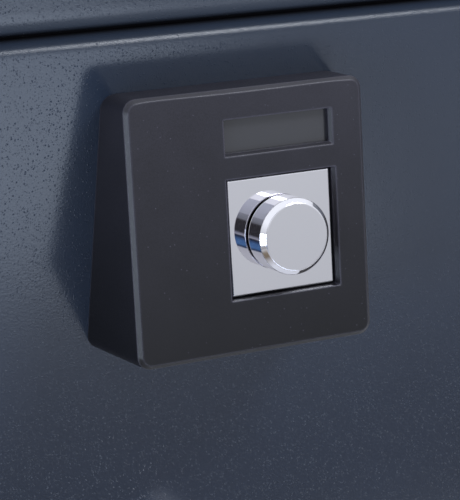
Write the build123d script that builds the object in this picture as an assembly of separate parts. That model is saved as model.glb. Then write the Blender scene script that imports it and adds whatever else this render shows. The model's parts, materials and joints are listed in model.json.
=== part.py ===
"""A freestanding security safe with an electronic entry unit on its door.

The body is a steel box round a barrier wall. A proud door leaf hangs on two outside hinges, carries a lever
that throws three bolts, and a wedge-shaped entry unit with a display window and a push-and-turn knob.

Row frame in millimetres: +Z up, the door faces -Y, the origin is the centre of the base on the floor.
At rest the door is closed and the bolts are drawn, so the door can swing.
"""

import math
import os

from build123d import *

# Body: a box of outer sheet, barrier fill and inner liner, closed at the front by a frame with a deep jamb
body_width = 480.0
body_height = 640.0
body_depth = 420.0
body_corner = 4.0
shell_wall = 3.0
liner_wall = 2.0
rear_barrier = 50.0
slab_joint = 0.2
opening_width = 360.0
opening_height = 530.0
frame_flange = 6.0
jamb_wall = 8.0
jamb_depth = 90.0
anchor_bore = 7.0
anchor_sleeve_wall = 3.0
anchor_spacing = 200.0
seal_width = 8.0
seal_height = 2.0
seal_inset = 5.0

# Shelf on four studs
shelf_sheet = 1.5
shelf_lip = 18.0
shelf_side_gap = 1.5
shelf_level = 330.0
shelf_depth = 270.0
stud_radius = 5.0
stud_reach = 14.0
stud_setback = 45.0

# Door leaf: a folded pan that stands proud of the frame, then the plug that enters the opening
leaf_overlap = 20.0
leaf_thickness = 15.0
leaf_gap = 2.3
leaf_edge_radius = 1.4
leaf_corner_radius = 2.0
skin_wall = 2.5
plug_clearance = 11.0
plug_barrier = 25.0
back_plate = 4.0
boltwork_depth = 40.0
boltwork_wall = 3.0
cover_sheet = 1.5
cover_inset = 0.5
post_radius = 5.5
post_margin = 22.0
cover_screw_head = 4.5
cover_screw_dome = 2.2
cover_screw_shank = 2.5
cover_screw_length = 10.0
cross_length = 5.0
cross_width = 1.2
cross_depth = 1.2

# Hinges on the right-hand side
hinge_barrel = 9.0
hinge_knuckle = 34.0
hinge_edge_gap = 2.0
hinge_pin_radius = 5.0
hinge_pin_head = 7.5
hinge_pin_head_height = 4.0
hinge_pad = 4.0
hinge_web = 12.0
hinge_washer = 1.5
hinge_end_chamfer = 1.0
hinge_height = 205.0
running_gap = 0.05

# Locking bolts, their carriage and the fixed dogs
bolt_radius = 11.0
bolt_length = 62.0
bolt_throw = 26.0
bolt_proud = 1.5
bolt_margin = 64.0
bolt_axis_depth = 20.0
bolt_nose = 1.5
bolt_hole_gap = 1.0
bolt_pocket_end_gap = 5.0
bolt_screw_radius = 4.0
bolt_screw_head = 6.0
bolt_screw_length = 30.0
guide_thickness = 12.0
guide_setback = 8.0
guide_margin = 5.0
guide_bore_gap = 0.15
carriage_plate = 4.0
carriage_level = 9.6
carriage_bar = 52.0
carriage_flange = 6.0
carriage_overrun = 24.0
arm_height = 54.0
arm_end = 30.0
guide_stud_radius = 4.5
guide_stud_collar = 8.0
guide_stud_setback = 2.0
guide_stud_cap = 3.0
guide_stud_offset = 92.0
slot_gap = 0.4
dog_reach = 17.0
dog_thickness = 14.0
dog_height = 40.0
dog_chamfer = 3.0
dog_slot_front = 5.5
dog_slot_gap = 1.5
dog_slot_end_gap = 2.0

# Handle: lever, spindle and the cam whose pin drives the carriage
handle_drop = 12.0
spindle_radius = 6.0
spindle_square = 8.4
square_gap = 0.1
bush_wall = 3.0
bush_flange = 1.5
bush_flange_radius = 12.5
rear_bush_length = 14.0
hole_gap = 0.1
rosette_radius = 26.0
rosette_height = 7.0
rosette_edge_radius = 2.8
hub_radius = 19.0
hub_height = 30.0
hub_gap = 0.5
lever_length = 118.0
lever_root_width = 30.0
lever_tip_width = 19.0
lever_thickness = 11.0
lever_edge_radius = 3.3
hub_edge_radius = 1.0
cam_thickness = 6.5
cam_gap = 1.0
cam_hub = 13.0
cam_eye = 9.0
crank_pin_radius = 4.0
crank_pin_gap = 0.9
crank_pin_proud = 1.5
handle_turn_degrees = 90.0
cam_screw_head = 6.0
cam_screw_head_height = 2.5
cam_screw_shank = 2.5
cam_screw_length = 10.0
set_screw_radius = 3.0
set_screw_length = 10.0
set_screw_setback = 8.0

# Lock case behind the entry unit, with the bolt that drops behind the carriage
lock_width = 62.0
lock_height = 84.0
lock_depth = 27.0
lock_wall = 2.5
lock_lid = 1.5
lock_drop = 25.0
lock_bolt_width = 22.0
lock_bolt_thickness = 8.0
lock_bolt_length = 50.0
lock_bolt_throw = 15.0
lock_bolt_gap = 0.3
lug_gap = 1.2
lug_clear = 16.0
lug_height = 34.0
lock_screw_radius = 3.0
lock_screw_head = 5.0
lock_screw_head_height = 3.5
lock_screw_margin = 8.0
lock_motor_radius = 4.5
lock_motor_length = 26.0
lock_motor_nose = 4.0
lock_board_thickness = 1.6
lock_board_gap = 1.5
cable_radius = 2.2
cable_hole = 6.0
cable_bend = 11.0
cable_gap = 0.2

# Entry unit: a wedge whose sides run square to its tilted face, cut off at the door
entry_width = 125.0
entry_slope_length = 127.7
entry_tilt = 15.95
entry_face_depth = 42.1
entry_below_leaf_top = 81.0
entry_corner = 6.5
entry_bevel = 2.0
entry_bevel_radius = 0.4
entry_draft = 1.0
entry_wall = 3.0
display_bevel = 1.5
display_bevel_depth = 1.9
plate_bevel = 1.2
plate_bevel_depth = 2.6
cutout_gap = 0.5
cutout_left_gap = 1.6
rim_wall = 1.5
display_width = 56.5
display_height = 16.1
display_across = 15.65
display_up = 41.55
display_recess = 4.0
window_border = 3.0
knob_plate_width = 55.6
knob_plate_height = 56.9
knob_plate_across = 16.6
knob_plate_up = -7.8
knob_plate_recess = 3.2
knob_plate_thickness = 3.0
knob_plate_corner = 0.8
knob_plate_edge = 1.2
chassis_thickness = 2.0
chassis_gap = 0.8
board_thickness = 1.6
board_level = 20.0
board_margin = 6.0
board_foot = 22.0
module_margin = 4.0
module_thickness = 5.0
base_sheet = 2.0
base_gap = 1.0
base_screw_radius = 2.0
base_screw_head = 4.0
base_screw_head_height = 2.2
base_screw_length = 10.0
base_screw_across = 38.0
base_screw_up = 44.0
base_screw_down = 12.0
base_tab_width = 16.0
base_tab_length = 12.0
base_tab_thickness = 6.0
base_tab_across = 36.0
base_tab_gap = 0.4
housing_screw_radius = 1.5
housing_screw_head = 3.0
housing_screw_head_height = 1.5
battery_radius = 7.2
battery_length = 50.0
battery_nub = 2.7
battery_nub_height = 1.0
battery_wall = 1.5
battery_end = 3.0
battery_gap = 0.2
battery_rows = 2
battery_up = -46.0

# Knob, with its shaft, the encoder rotor that it slides through and the switch that it presses
knob_radius = 18.5
knob_height = 15.9
knob_lift = 1.7
knob_chamfer_across = 2.3
knob_chamfer_along = 2.4
knob_edge_radius = 0.35
knob_wall = 2.0
knob_hub = 6.5
knob_hub_setback = 1.0
knob_seat = 2.0
knob_travel = 1.2
shaft_radius = 3.0
shaft_flat = 2.2
shaft_gap = 0.05
encoder_side = 24.0
encoder_wall = 1.5
encoder_neck = 5.0
encoder_neck_proud = 1.0
rotor_radius = 8.5
rotor_thickness = 3.0
rotor_gap = 0.3
switch_side = 6.0
switch_height = 2.0
switch_gap = 0.3

# Planes and centres that several pieces share
frame_front = -body_depth / 2
body_rear = body_depth / 2
body_mid = body_height / 2
shell_inner_width = body_width - 2 * shell_wall
shell_inner_height = body_height - 2 * shell_wall
leaf_width = opening_width + 2 * leaf_overlap
leaf_height = opening_height + 2 * leaf_overlap
leaf_back = frame_front - leaf_gap
leaf_front = leaf_back - leaf_thickness
leaf_top = body_mid + leaf_height / 2
plug_width = opening_width - 2 * plug_clearance
plug_height = opening_height - 2 * plug_clearance
bolt_spacing = plug_height / 2 - bolt_margin
plate_front = leaf_back + plug_barrier
plate_rear = plate_front + back_plate
cover_front = plate_rear + boltwork_depth
hinge_x = leaf_width / 2 + hinge_edge_gap + hinge_barrel
hinge_y = leaf_front + leaf_thickness / 2
bolt_y = plate_rear + bolt_axis_depth
bolt_levels = [body_mid - bolt_spacing, body_mid, body_mid + bolt_spacing]
handle_z = body_mid - handle_drop
cam_front = plate_rear + bush_flange + cam_gap
cam_rear = cam_front + cam_thickness
crank = bolt_throw / (2 * math.sin(math.radians(handle_turn_degrees / 2)))
crank_side = bolt_throw / 2
crank_rise = crank * math.cos(math.radians(handle_turn_degrees / 2))
carriage_front = plate_rear + carriage_level
carriage_rear = carriage_front + carriage_plate
bolt_tip = -plug_width / 2 - bolt_proud
bolt_root = bolt_tip + bolt_length
entry_z = leaf_top - entry_below_leaf_top
tilt = math.radians(entry_tilt)
entry_face = Plane(
    origin=(0, leaf_front - entry_face_depth, entry_z),
    x_dir=(1, 0, 0),
    z_dir=(0, -math.cos(tilt), math.sin(tilt)),
)
cable_z = entry_z
lock_top = cable_z - lock_drop + lock_wall
lock_bottom = lock_top - lock_height
knob_floor = -knob_plate_recess
knob_front = knob_floor + knob_height
chassis_front = -knob_plate_recess - knob_plate_thickness
encoder_front = chassis_front - chassis_thickness


def block(x0, x1, y0, y1, z0, z1):
    """A box between two opposite corners."""
    return Pos((x0 + x1) / 2, (y0 + y1) / 2, (z0 + z1) / 2) * Box(x1 - x0, y1 - y0, z1 - z0)


def centred(width, y0, y1, height, z_mid=body_mid):
    """A box that is centred on x = 0 and on z_mid, from y0 to y1."""
    return block(-width / 2, width / 2, y0, y1, z_mid - height / 2, z_mid + height / 2)


def rod_x(radius, x0, x1, y, z):
    """A cylinder along X."""
    return Pos((x0 + x1) / 2, y, z) * Rot(0, 90, 0) * Cylinder(radius, x1 - x0)


def rod_y(radius, x, y0, y1, z):
    """A cylinder along Y."""
    return Pos(x, (y0 + y1) / 2, z) * Rot(90, 0, 0) * Cylinder(radius, y1 - y0)


def rod_z(radius, x, y, z0, z1):
    """A cylinder along Z."""
    return Pos(x, y, (z0 + z1) / 2) * Cylinder(radius, z1 - z0)


def slot_y(radius, x0, x1, y0, y1, z):
    """A slot with round ends along X that runs from y0 to y1."""
    ends = rod_y(radius, x0, y0, y1, z) + rod_y(radius, x1, y0, y1, z)
    return block(x0, x1, y0, y1, z - radius, z + radius) + ends


def on_face(shape):
    """Carries a shape from the entry unit's tilted face, where +Z points out of it, to the row frame."""
    return entry_face.location * shape


def face_box(across, up, width, height, level0, level1):
    """A box on the tilted face, centred at (across, up), between two levels along the face's normal."""
    return Pos(across, up, (level0 + level1) / 2) * Box(width, height, abs(level1 - level0))


def face_rod(radius, level0, level1, across=knob_plate_across, up=knob_plate_up):
    """A cylinder square to the tilted face, on the knob's axis unless told otherwise."""
    return Pos(across, up, (level0 + level1) / 2) * Cylinder(radius, abs(level1 - level0))


def group(solids):
    """Several separate solids that share one node."""
    return Compound(children=list(solids))


# Body

def anchor_spots():
    return [(-anchor_spacing / 2, 0.0), (anchor_spacing / 2, 0.0)]


def anchor_holes(z0, z1, radius):
    return [rod_z(radius, x, y, z0, z1) for x, y in anchor_spots()]


def outer_shell():
    """Folded outer sheet: top, sides, base and back, open at the front."""
    outer = centred(body_width, frame_front, body_rear, body_height)
    outer = fillet(outer.edges().filter_by(Axis.Y), body_corner)
    shell = outer - centred(shell_inner_width, frame_front - 1, body_rear - shell_wall, shell_inner_height)
    for hole in anchor_holes(-1, shell_wall + 1, anchor_bore + anchor_sleeve_wall + hole_gap):
        shell -= hole
    return shell


def jamb_outline(y0, y1, extra=0.0):
    """The outside of the jamb sleeve."""
    return centred(opening_width + 2 * jamb_wall + extra, y0, y1, opening_height + 2 * jamb_wall + extra)


def bolt_pockets():
    """Blind pockets behind the left jamb, one for each bolt."""
    thrown = bolt_tip - bolt_throw - bolt_pocket_end_gap
    return [rod_x(bolt_radius + bolt_hole_gap, thrown, -opening_width / 2, bolt_y, z) for z in bolt_levels]


def dog_pockets():
    """Slots behind the right jamb for the fixed dogs, with room in front for the swing."""
    reach = plug_width / 2 + dog_reach + dog_slot_end_gap
    y0 = bolt_y - dog_thickness / 2 - dog_slot_front
    y1 = bolt_y + dog_thickness / 2 + dog_slot_gap
    half = dog_height / 2 + dog_slot_end_gap
    return [block(opening_width / 2, reach, y0, y1, z - half, z + half) for z in bolt_levels]


def barrier_fill():
    """Cast barrier slabs between the outer shell and the liner: base, sides, roof and back."""
    y0 = frame_front + frame_flange
    y1 = body_rear - shell_wall
    end = shell_inner_width / 2
    side = opening_width / 2 + liner_wall
    low = body_mid - opening_height / 2 - liner_wall
    top = body_mid + opening_height / 2 + liner_wall
    base = block(-end, end, y0, y1, shell_wall, low)
    for hole in anchor_holes(0, low + 1, anchor_bore + anchor_sleeve_wall + hole_gap):
        base -= hole
    left = block(-end, -side, y0, y1, low + slab_joint, top - slab_joint)
    for pocket in bolt_pockets():
        left -= pocket
    right = block(side, end, y0, y1, low + slab_joint, top - slab_joint)
    for pocket in dog_pockets():
        right -= pocket
    inner = side - slab_joint
    rear = block(-inner, inner, y1 - rear_barrier, y1, low + slab_joint, top - slab_joint)
    jamb = jamb_outline(frame_front, frame_front + jamb_depth)
    roof = block(-end, end, y0, y1, top, body_height - shell_wall)
    return group([base - jamb, left - jamb, right - jamb, roof - jamb, rear])


def inner_liner():
    """Sheet liner of the cavity, from the jamb to the back."""
    y0 = frame_front + jamb_depth
    y1 = body_rear - shell_wall - rear_barrier
    liner = centred(opening_width + 2 * liner_wall, y0, y1, opening_height + 2 * liner_wall)
    liner -= centred(opening_width, y0 - 1, y1 - liner_wall, opening_height)
    base = body_mid - opening_height / 2
    for hole in anchor_holes(base - liner_wall - 1, base + 1, anchor_bore + anchor_sleeve_wall + hole_gap):
        liner -= hole
    for stud in stud_rods(stud_radius + hole_gap):
        liner -= stud
    return liner


def front_frame():
    """Front flange and jamb sleeve in one, bored for the bolts and slotted for the dogs."""
    frame = centred(shell_inner_width, frame_front, frame_front + frame_flange, shell_inner_height)
    frame += jamb_outline(frame_front, frame_front + jamb_depth)
    frame -= centred(opening_width, frame_front - 1, frame_front + jamb_depth + 1, opening_height)
    for pocket in bolt_pockets() + dog_pockets():
        frame -= pocket
    return frame


def door_seal():
    """Flat sealing strip round the opening, between the frame and the leaf."""
    outer_w = opening_width + 2 * (seal_inset + seal_width)
    outer_h = opening_height + 2 * (seal_inset + seal_width)
    strip = centred(outer_w, frame_front - seal_height, frame_front, outer_h)
    strip -= centred(
        outer_w - 2 * seal_width, frame_front - seal_height - 1, frame_front + 1, outer_h - 2 * seal_width
    )
    return strip


def anchor_sleeves():
    """Steel sleeves through the base for the floor anchors."""
    base = body_mid - opening_height / 2
    sleeves = []
    for x, y in anchor_spots():
        tube = rod_z(anchor_bore + anchor_sleeve_wall, x, y, 0, base)
        sleeves.append(tube - rod_z(anchor_bore, x, y, -1, base + 1))
    return group(sleeves)


def shelf_rear():
    return body_rear - shell_wall - rear_barrier - liner_wall - shelf_side_gap


def stud_spots():
    """(side, y) of each shelf stud."""
    rear = shelf_rear() - stud_setback
    front = shelf_rear() - shelf_depth + stud_setback
    return [(side, y) for side in (-1, 1) for y in (front, rear)]


def stud_rods(radius, inward=0.0):
    rods = []
    for side, y in stud_spots():
        ends = sorted((side * (opening_width / 2 + liner_wall), side * (opening_width / 2 - inward)))
        rods.append(rod_x(radius, ends[0], ends[1], y, shelf_level - stud_radius))
    return rods


def shelf_studs():
    """Four studs pressed into the liner's sides."""
    return group(stud_rods(stud_radius, stud_reach))


def shelf():
    """Folded shelf with a lip at the front and one at the back."""
    width = opening_width - 2 * shelf_side_gap
    rear = shelf_rear()
    front = rear - shelf_depth
    tray = block(-width / 2, width / 2, front, rear, shelf_level, shelf_level + shelf_sheet)
    low = shelf_level + shelf_sheet - shelf_lip
    tray += block(-width / 2, width / 2, front, front + shelf_sheet, low, shelf_level + shelf_sheet)
    tray += block(-width / 2, width / 2, rear - shelf_sheet, rear, low, shelf_level + shelf_sheet)
    return tray


# Hinges

def hinge_seat(level):
    """Height of the joint between the fixed knuckle and the door's knuckle."""
    return body_mid + level * hinge_height


def hinge_body(level):
    """Fixed knuckle with its web and the pad that is welded to the frame."""
    top = hinge_seat(level) - hinge_washer / 2
    low = top - hinge_knuckle
    knuckle = rod_z(hinge_barrel, hinge_x, hinge_y, low, top)
    knuckle = chamfer(knuckle.faces().sort_by(Axis.Z)[0].edges(), hinge_end_chamfer)
    half_web = hinge_web / 2
    knuckle += block(hinge_x - half_web, hinge_x + half_web, hinge_y, frame_front, low, top)
    pad_end = body_width / 2 - shell_wall
    pad_start = leaf_width / 2 + hinge_edge_gap
    knuckle += block(pad_start, pad_end, frame_front - hinge_pad, frame_front, low, top)
    return knuckle - rod_z(hinge_pin_radius, hinge_x, hinge_y, low - 1, top + 1)


def hinge_pins():
    """Pins pressed into the fixed knuckles, each with a head under its knuckle."""
    pins = []
    for level in (-1, 1):
        seat = hinge_seat(level)
        low = seat - hinge_washer / 2 - hinge_knuckle
        top = seat + hinge_washer / 2 + hinge_knuckle
        pin = rod_z(hinge_pin_radius, hinge_x, hinge_y, low, top)
        pins.append(pin + rod_z(hinge_pin_head, hinge_x, hinge_y, low - hinge_pin_head_height, low))
    return group(pins)


def hinge_washers():
    """Bearing washers that carry the door."""
    rings = []
    for level in (-1, 1):
        low = hinge_seat(level) - hinge_washer / 2
        top = low + hinge_washer
        ring = rod_z(hinge_barrel, hinge_x, hinge_y, low, top)
        rings.append(ring - rod_z(hinge_pin_radius + hole_gap, hinge_x, hinge_y, low - 1, top + 1))
    return group(rings)


def hinge_door(level):
    """Door knuckle with its arm to the leaf's edge."""
    low = hinge_seat(level) + hinge_washer / 2
    top = low + hinge_knuckle
    knuckle = rod_z(hinge_barrel, hinge_x, hinge_y, low, top)
    knuckle = chamfer(knuckle.faces().sort_by(Axis.Z)[-1].edges(), hinge_end_chamfer)
    half_web = hinge_web / 2
    knuckle += block(leaf_width / 2, hinge_x, hinge_y - half_web, hinge_y + half_web, low, top)
    return knuckle - rod_z(hinge_pin_radius + running_gap, hinge_x, hinge_y, low - 1, top + 1)


# Door

def spindle_hole(y0, y1, extra=0.0):
    return rod_y(spindle_radius + bush_wall + extra, 0, y0, y1, handle_z)


def base_screw_spots():
    levels = (entry_z - base_screw_down, entry_z + base_screw_up)
    return [(x, z) for x in (-base_screw_across, base_screw_across) for z in levels]


def leaf_cuts(y0, y1):
    """The holes through the leaf: handle bush, cable and the entry unit's screws."""
    cuts = [spindle_hole(y0, y1, hole_gap), rod_y(cable_hole, 0, y0, y1, cable_z)]
    return cuts + [rod_y(base_screw_radius + hole_gap, x, y0, y1, z) for x, z in base_screw_spots()]


def door_skin():
    """Outer pan of the leaf: the painted front and its four folded edges."""
    pan = centred(leaf_width, leaf_front, leaf_back, leaf_height)
    pan = fillet(pan.edges().filter_by(Axis.Y), leaf_corner_radius)
    pan = fillet(pan.faces().sort_by(Axis.Y)[0].edges(), leaf_edge_radius)
    pan -= centred(
        leaf_width - 2 * skin_wall, leaf_front + skin_wall, leaf_back + 1, leaf_height - 2 * skin_wall
    )
    for cut in leaf_cuts(leaf_front - 1, leaf_front + skin_wall + 1):
        pan -= cut
    return pan


def door_armour():
    """Hard plate that fills the pan."""
    plate = centred(
        leaf_width - 2 * skin_wall, leaf_front + skin_wall, leaf_back, leaf_height - 2 * skin_wall
    )
    for cut in leaf_cuts(leaf_front, leaf_back + 1):
        plate -= cut
    return plate


def plug_fill():
    """Barrier block behind the leaf."""
    fill = centred(plug_width, leaf_back, plate_front, plug_height)
    fill -= spindle_hole(leaf_back - 1, plate_front + 1, hole_gap)
    return fill - rod_y(cable_hole, 0, leaf_back - 1, plate_front + 1, cable_z)


def door_back_plate():
    """Steel plate that carries the boltwork."""
    plate = centred(plug_width, plate_front, plate_rear, plug_height)
    plate -= spindle_hole(plate_front - 1, plate_rear + 1, hole_gap)
    return plate - rod_y(cable_hole, 0, plate_front - 1, plate_rear + 1, cable_z)


def boltwork_frame():
    """Rim round the boltwork, bored for the bolts."""
    rim = centred(plug_width, plate_rear, cover_front, plug_height)
    rim -= centred(
        plug_width - 2 * boltwork_wall, plate_rear - 1, cover_front + 1, plug_height - 2 * boltwork_wall
    )
    for z in bolt_levels:
        rim -= rod_x(bolt_radius + bolt_hole_gap, -plug_width / 2 - 1, 0, bolt_y, z)
    return rim


def post_spots():
    half_w = plug_width / 2 - post_margin
    half_h = plug_height / 2 - post_margin
    spots = [(side * half_w, body_mid + end * half_h) for side in (-1, 1) for end in (-1, 1)]
    return spots + [(half_w, body_mid)]


def cover_screw_tip():
    return cover_front - cover_screw_length


def cover_posts():
    """Posts between the back plate and the boltwork cover."""
    posts = []
    for x, z in post_spots():
        post = rod_y(post_radius, x, plate_rear, cover_front, z)
        posts.append(post - rod_y(cover_screw_shank, x, cover_screw_tip() - 1, cover_front + 1, z))
    return group(posts)


def boltwork_cover():
    """Sheet cover on the inside of the door."""
    sheet = centred(
        plug_width - 2 * cover_inset, cover_front, cover_front + cover_sheet, plug_height - 2 * cover_inset
    )
    for x, z in post_spots():
        sheet -= rod_y(cover_screw_shank + hole_gap, x, cover_front - 1, cover_front + cover_sheet + 1, z)
    return sheet


def cross_recess(x, y, z):
    """Cross-shaped driver recess that goes in from a head's end at y."""
    arm = Box(cross_length, 2 * cross_depth, cross_width)
    return Pos(x, y, z) * (arm + Rot(0, 90, 0) * arm)


def cover_screws():
    """Domed screws of the boltwork cover."""
    seat = cover_front + cover_sheet
    screws = []
    for x, z in post_spots():
        shank = rod_y(cover_screw_shank - hole_gap, x, cover_screw_tip(), seat, z)
        head = rod_y(cover_screw_head, x, seat, seat + cover_screw_dome, z)
        head = chamfer(head.faces().sort_by(Axis.Y)[-1].edges(), cover_screw_dome / 3)
        head -= cross_recess(x, seat + cover_screw_dome, z)
        screws.append(shank + head)
    return group(screws)


def fixed_dogs():
    """Bars on the hinge side that hook behind the jamb."""
    dogs = []
    side = plug_width / 2
    for z in bolt_levels:
        dog = block(
            side, side + dog_reach, bolt_y - dog_thickness / 2, bolt_y + dog_thickness / 2,
            z - dog_height / 2, z + dog_height / 2,
        )
        tip_edges = dog.faces().sort_by(Axis.X)[-1].edges().filter_by(Axis.Z)
        dogs.append(chamfer(tip_edges, dog_chamfer))
    return group(dogs)


def bolt_guides():
    """Bored blocks on the back plate, one behind each bolt's hole."""
    guides = []
    x0 = -plug_width / 2 + boltwork_wall + guide_setback
    half = bolt_radius + guide_margin
    for z in bolt_levels:
        guide = block(x0, x0 + guide_thickness, plate_rear, bolt_y + half, z - half, z + half)
        bore = rod_x(bolt_radius + guide_bore_gap, x0 - 1, x0 + guide_thickness + 1, bolt_y, z)
        guides.append(guide - bore)
    return group(guides)


# Boltwork

def guide_stud_spots():
    """Studs that carry the carriage, given at the drawn position."""
    x = bolt_root + carriage_flange + guide_stud_collar + guide_stud_setback
    return [(x, body_mid + side * guide_stud_offset) for side in (-1, 1)]


def guide_studs():
    """Collared studs on the back plate that the carriage slides on."""
    studs = []
    cap_front = carriage_rear + slot_gap
    for x, z in guide_stud_spots():
        stud = rod_y(guide_stud_collar, x, plate_rear, carriage_front, z)
        stud += rod_y(guide_stud_radius, x, carriage_front, cap_front, z)
        stud += rod_y(guide_stud_collar, x, cap_front, cap_front + guide_stud_cap, z)
        studs.append(stud)
    return group(studs)


def ramp_x():
    """Left edge of the lock bolt, where the carriage's ramp starts."""
    return -lock_bolt_width / 2


def lock_lug():
    """Arm of the carriage under the lock bolt; its ramp falls at the rate that the lock bolt does.

    The arm has passed the lock bolt after lug_clear of the throw, and the bolt then drops behind it."""
    top = lock_bottom - lug_gap
    end = ramp_x() + lug_clear - lug_gap
    fall = lock_bolt_throw / bolt_throw
    start = ramp_x() - lug_gap
    profile = [
        (bolt_root, top - lug_height), (end, top - lug_height), (end, top - (end - start) * fall),
        (start, top), (bolt_root, top),
    ]
    return lug_profile(profile)


def lug_profile(points):
    """A plate of the carriage's thickness with the given (x, z) outline."""
    outline = make_face(Polyline(*points, close=True))
    plate = extrude(Plane.XZ * outline, amount=carriage_plate)
    return Pos(0, carriage_rear, 0) * plate


def bolt_carriage():
    """Bar with a flange for the bolts, the drive arm with its slot and the arm under the lock bolt."""
    reach = bolt_spacing + carriage_overrun
    bar_end = bolt_root + carriage_bar
    low = body_mid - reach
    top = body_mid + reach
    bar = block(bolt_root, bar_end, carriage_front, carriage_rear, low, top)
    bar += block(bolt_root, bolt_root + carriage_flange, carriage_front, bolt_y + bolt_radius, low, top)
    arm_low = handle_z - arm_height / 2
    bar += block(bolt_root, arm_end, carriage_front, carriage_rear, arm_low, arm_low + arm_height)
    bar += lock_lug()
    clear = crank_pin_radius + crank_pin_gap
    slot_low = handle_z + crank_rise - clear
    slot_top = handle_z + crank + clear
    bar -= block(
        crank_side - clear, crank_side + clear, carriage_front - 1, carriage_rear + 1, slot_low, slot_top
    )
    for x, z in guide_stud_spots():
        slot = guide_stud_radius + slot_gap
        bar -= slot_y(slot, x, x + bolt_throw, carriage_front - 1, carriage_rear + 1, z)
    for z in bolt_levels:
        hole = bolt_screw_radius + hole_gap
        bar -= rod_x(hole, bolt_root - 1, bolt_root + carriage_flange + 1, bolt_y, z)
    return bar


def locking_bolts():
    """Three round bolts, tapped at the root."""
    bolts = []
    for z in bolt_levels:
        bolt = rod_x(bolt_radius, bolt_tip, bolt_root, bolt_y, z)
        bolt = chamfer(bolt.faces().sort_by(Axis.X)[0].edges(), bolt_nose)
        bore = rod_x(bolt_screw_radius + hole_gap, bolt_root - bolt_screw_length, bolt_root, bolt_y, z)
        bolts.append(bolt - bore)
    return group(bolts)


def bolt_screws():
    """Socket screws that hold the bolts on the carriage."""
    screws = []
    seat = bolt_root + carriage_flange
    for z in bolt_levels:
        shank_start = seat - bolt_screw_length
        screw = rod_x(bolt_screw_radius, shank_start, seat, bolt_y, z)
        head = rod_x(bolt_screw_head, seat, seat + 2 * bolt_screw_radius, bolt_y, z)
        socket_floor = seat + bolt_screw_radius
        socket = rod_x(bolt_screw_radius * 0.8, socket_floor, seat + 3 * bolt_screw_radius, bolt_y, z)
        screws.append(screw + head - socket)
    return group(screws)


# Handle

def handle_rosette():
    """Domed collar on the leaf round the handle's spindle."""
    rosette = rod_y(rosette_radius, 0, leaf_front - rosette_height, leaf_front, handle_z)
    rosette = fillet(rosette.faces().sort_by(Axis.Y)[0].edges(), rosette_edge_radius)
    return rosette - rod_y(
        spindle_radius + running_gap, 0, leaf_front - rosette_height - 1, leaf_front + 1, handle_z
    )


def bush(y0, y1, flange_y0, flange_y1):
    """A flanged bush on the spindle's axis."""
    tube = rod_y(spindle_radius + bush_wall, 0, y0, y1, handle_z)
    if flange_y1 > flange_y0:
        tube += rod_y(bush_flange_radius, 0, flange_y0, flange_y1, handle_z)
    return tube - rod_y(spindle_radius + running_gap, 0, y0 - 5, y1 + 5, handle_z)


def spindle_bush_front():
    return bush(leaf_front, leaf_back, 0, 0)


def spindle_bush_rear():
    return bush(plate_rear - rear_bush_length, plate_rear, plate_rear, plate_rear + bush_flange)


def hub_back():
    return leaf_front - rosette_height - hub_gap


def handle_lever():
    """Round hub with a tapering lever that hangs down at rest."""
    back = hub_back()
    front = back - hub_height
    hub = rod_y(hub_radius, 0, front, back, handle_z)
    root = lever_root_width / 2
    tip = lever_tip_width / 2
    end = lever_length - tip
    outline = make_face(
        Polyline((-root, 0), (root, 0), (tip, -end), (-tip, -end), close=True)
    )
    arm = extrude(Plane.XZ * outline, amount=lever_thickness)
    arm += Pos(0, -lever_thickness / 2, -end) * Rot(90, 0, 0) * Cylinder(tip, lever_thickness)
    arm = fillet(arm.faces().sort_by(Axis.Y)[0].edges(), lever_edge_radius)
    lever = hub + Pos(0, front + lever_thickness, handle_z) * arm
    lever = fillet(lever.faces().sort_by(Axis.Y)[-1].edges(), hub_edge_radius)
    bore_end = front + lever_thickness
    lever -= rod_y(spindle_radius + hole_gap, 0, bore_end, back + 1, handle_z)
    screw_y = back - set_screw_setback
    return lever - rod_z(set_screw_radius + hole_gap, 0, screw_y, handle_z, handle_z + hub_radius + 1)


def handle_set_screw():
    """Grub screw from the top of the hub to the spindle."""
    screw_y = hub_back() - set_screw_setback
    low = handle_z + spindle_radius
    top = low + set_screw_length
    screw = rod_z(set_screw_radius, 0, screw_y, low, top)
    return screw - rod_z(set_screw_radius / 2, 0, screw_y, top - set_screw_radius, top + 1)


def handle_spindle():
    """Round spindle with a square end for the cam and a hole for its screw."""
    start = hub_back() - hub_height + lever_thickness + hole_gap
    spindle = rod_y(spindle_radius, 0, start, cam_front, handle_z)
    half = spindle_square / 2
    spindle += block(-half, half, cam_front, cam_screw_seat(), handle_z - half, handle_z + half)
    return spindle - rod_y(cam_screw_shank + hole_gap, 0, cam_screw_tip() - 1, cam_rear + 1, handle_z)


def cam_screw_seat():
    return cam_rear - cam_screw_head_height - hole_gap


def cam_screw_tip():
    return cam_screw_seat() - cam_screw_length


def drive_cam():
    """Cam plate on the spindle's square, with the crank pin that drives the carriage."""
    rear = cam_rear
    pin_x = crank_side
    pin_z = handle_z + crank_rise
    cam = rod_y(cam_hub, 0, cam_front, rear, handle_z) + rod_y(cam_eye, pin_x, cam_front, rear, pin_z)
    lean = math.degrees(math.atan2(crank_side, crank_rise))
    web = Pos(0, (cam_front + rear) / 2, handle_z) * Rot(0, lean, 0) * Pos(0, 0, crank / 2)
    cam += web * Box(2 * cam_eye, cam_thickness, crank)
    half = spindle_square / 2 + square_gap
    cam -= block(-half, half, cam_front - 1, rear + 1, handle_z - half, handle_z + half)
    cam -= rod_y(cam_screw_head + hole_gap, 0, cam_screw_seat(), rear + 1, handle_z)
    return cam + rod_y(crank_pin_radius, pin_x, rear, carriage_rear + crank_pin_proud, pin_z)


def cam_screw():
    """Low-headed screw, sunk in the cam, that holds it on the spindle."""
    seat = cam_screw_seat()
    screw = rod_y(cam_screw_shank, 0, cam_screw_tip(), seat, handle_z)
    return screw + rod_y(cam_screw_head, 0, seat, seat + cam_screw_head_height, handle_z)


# Lock

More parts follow.
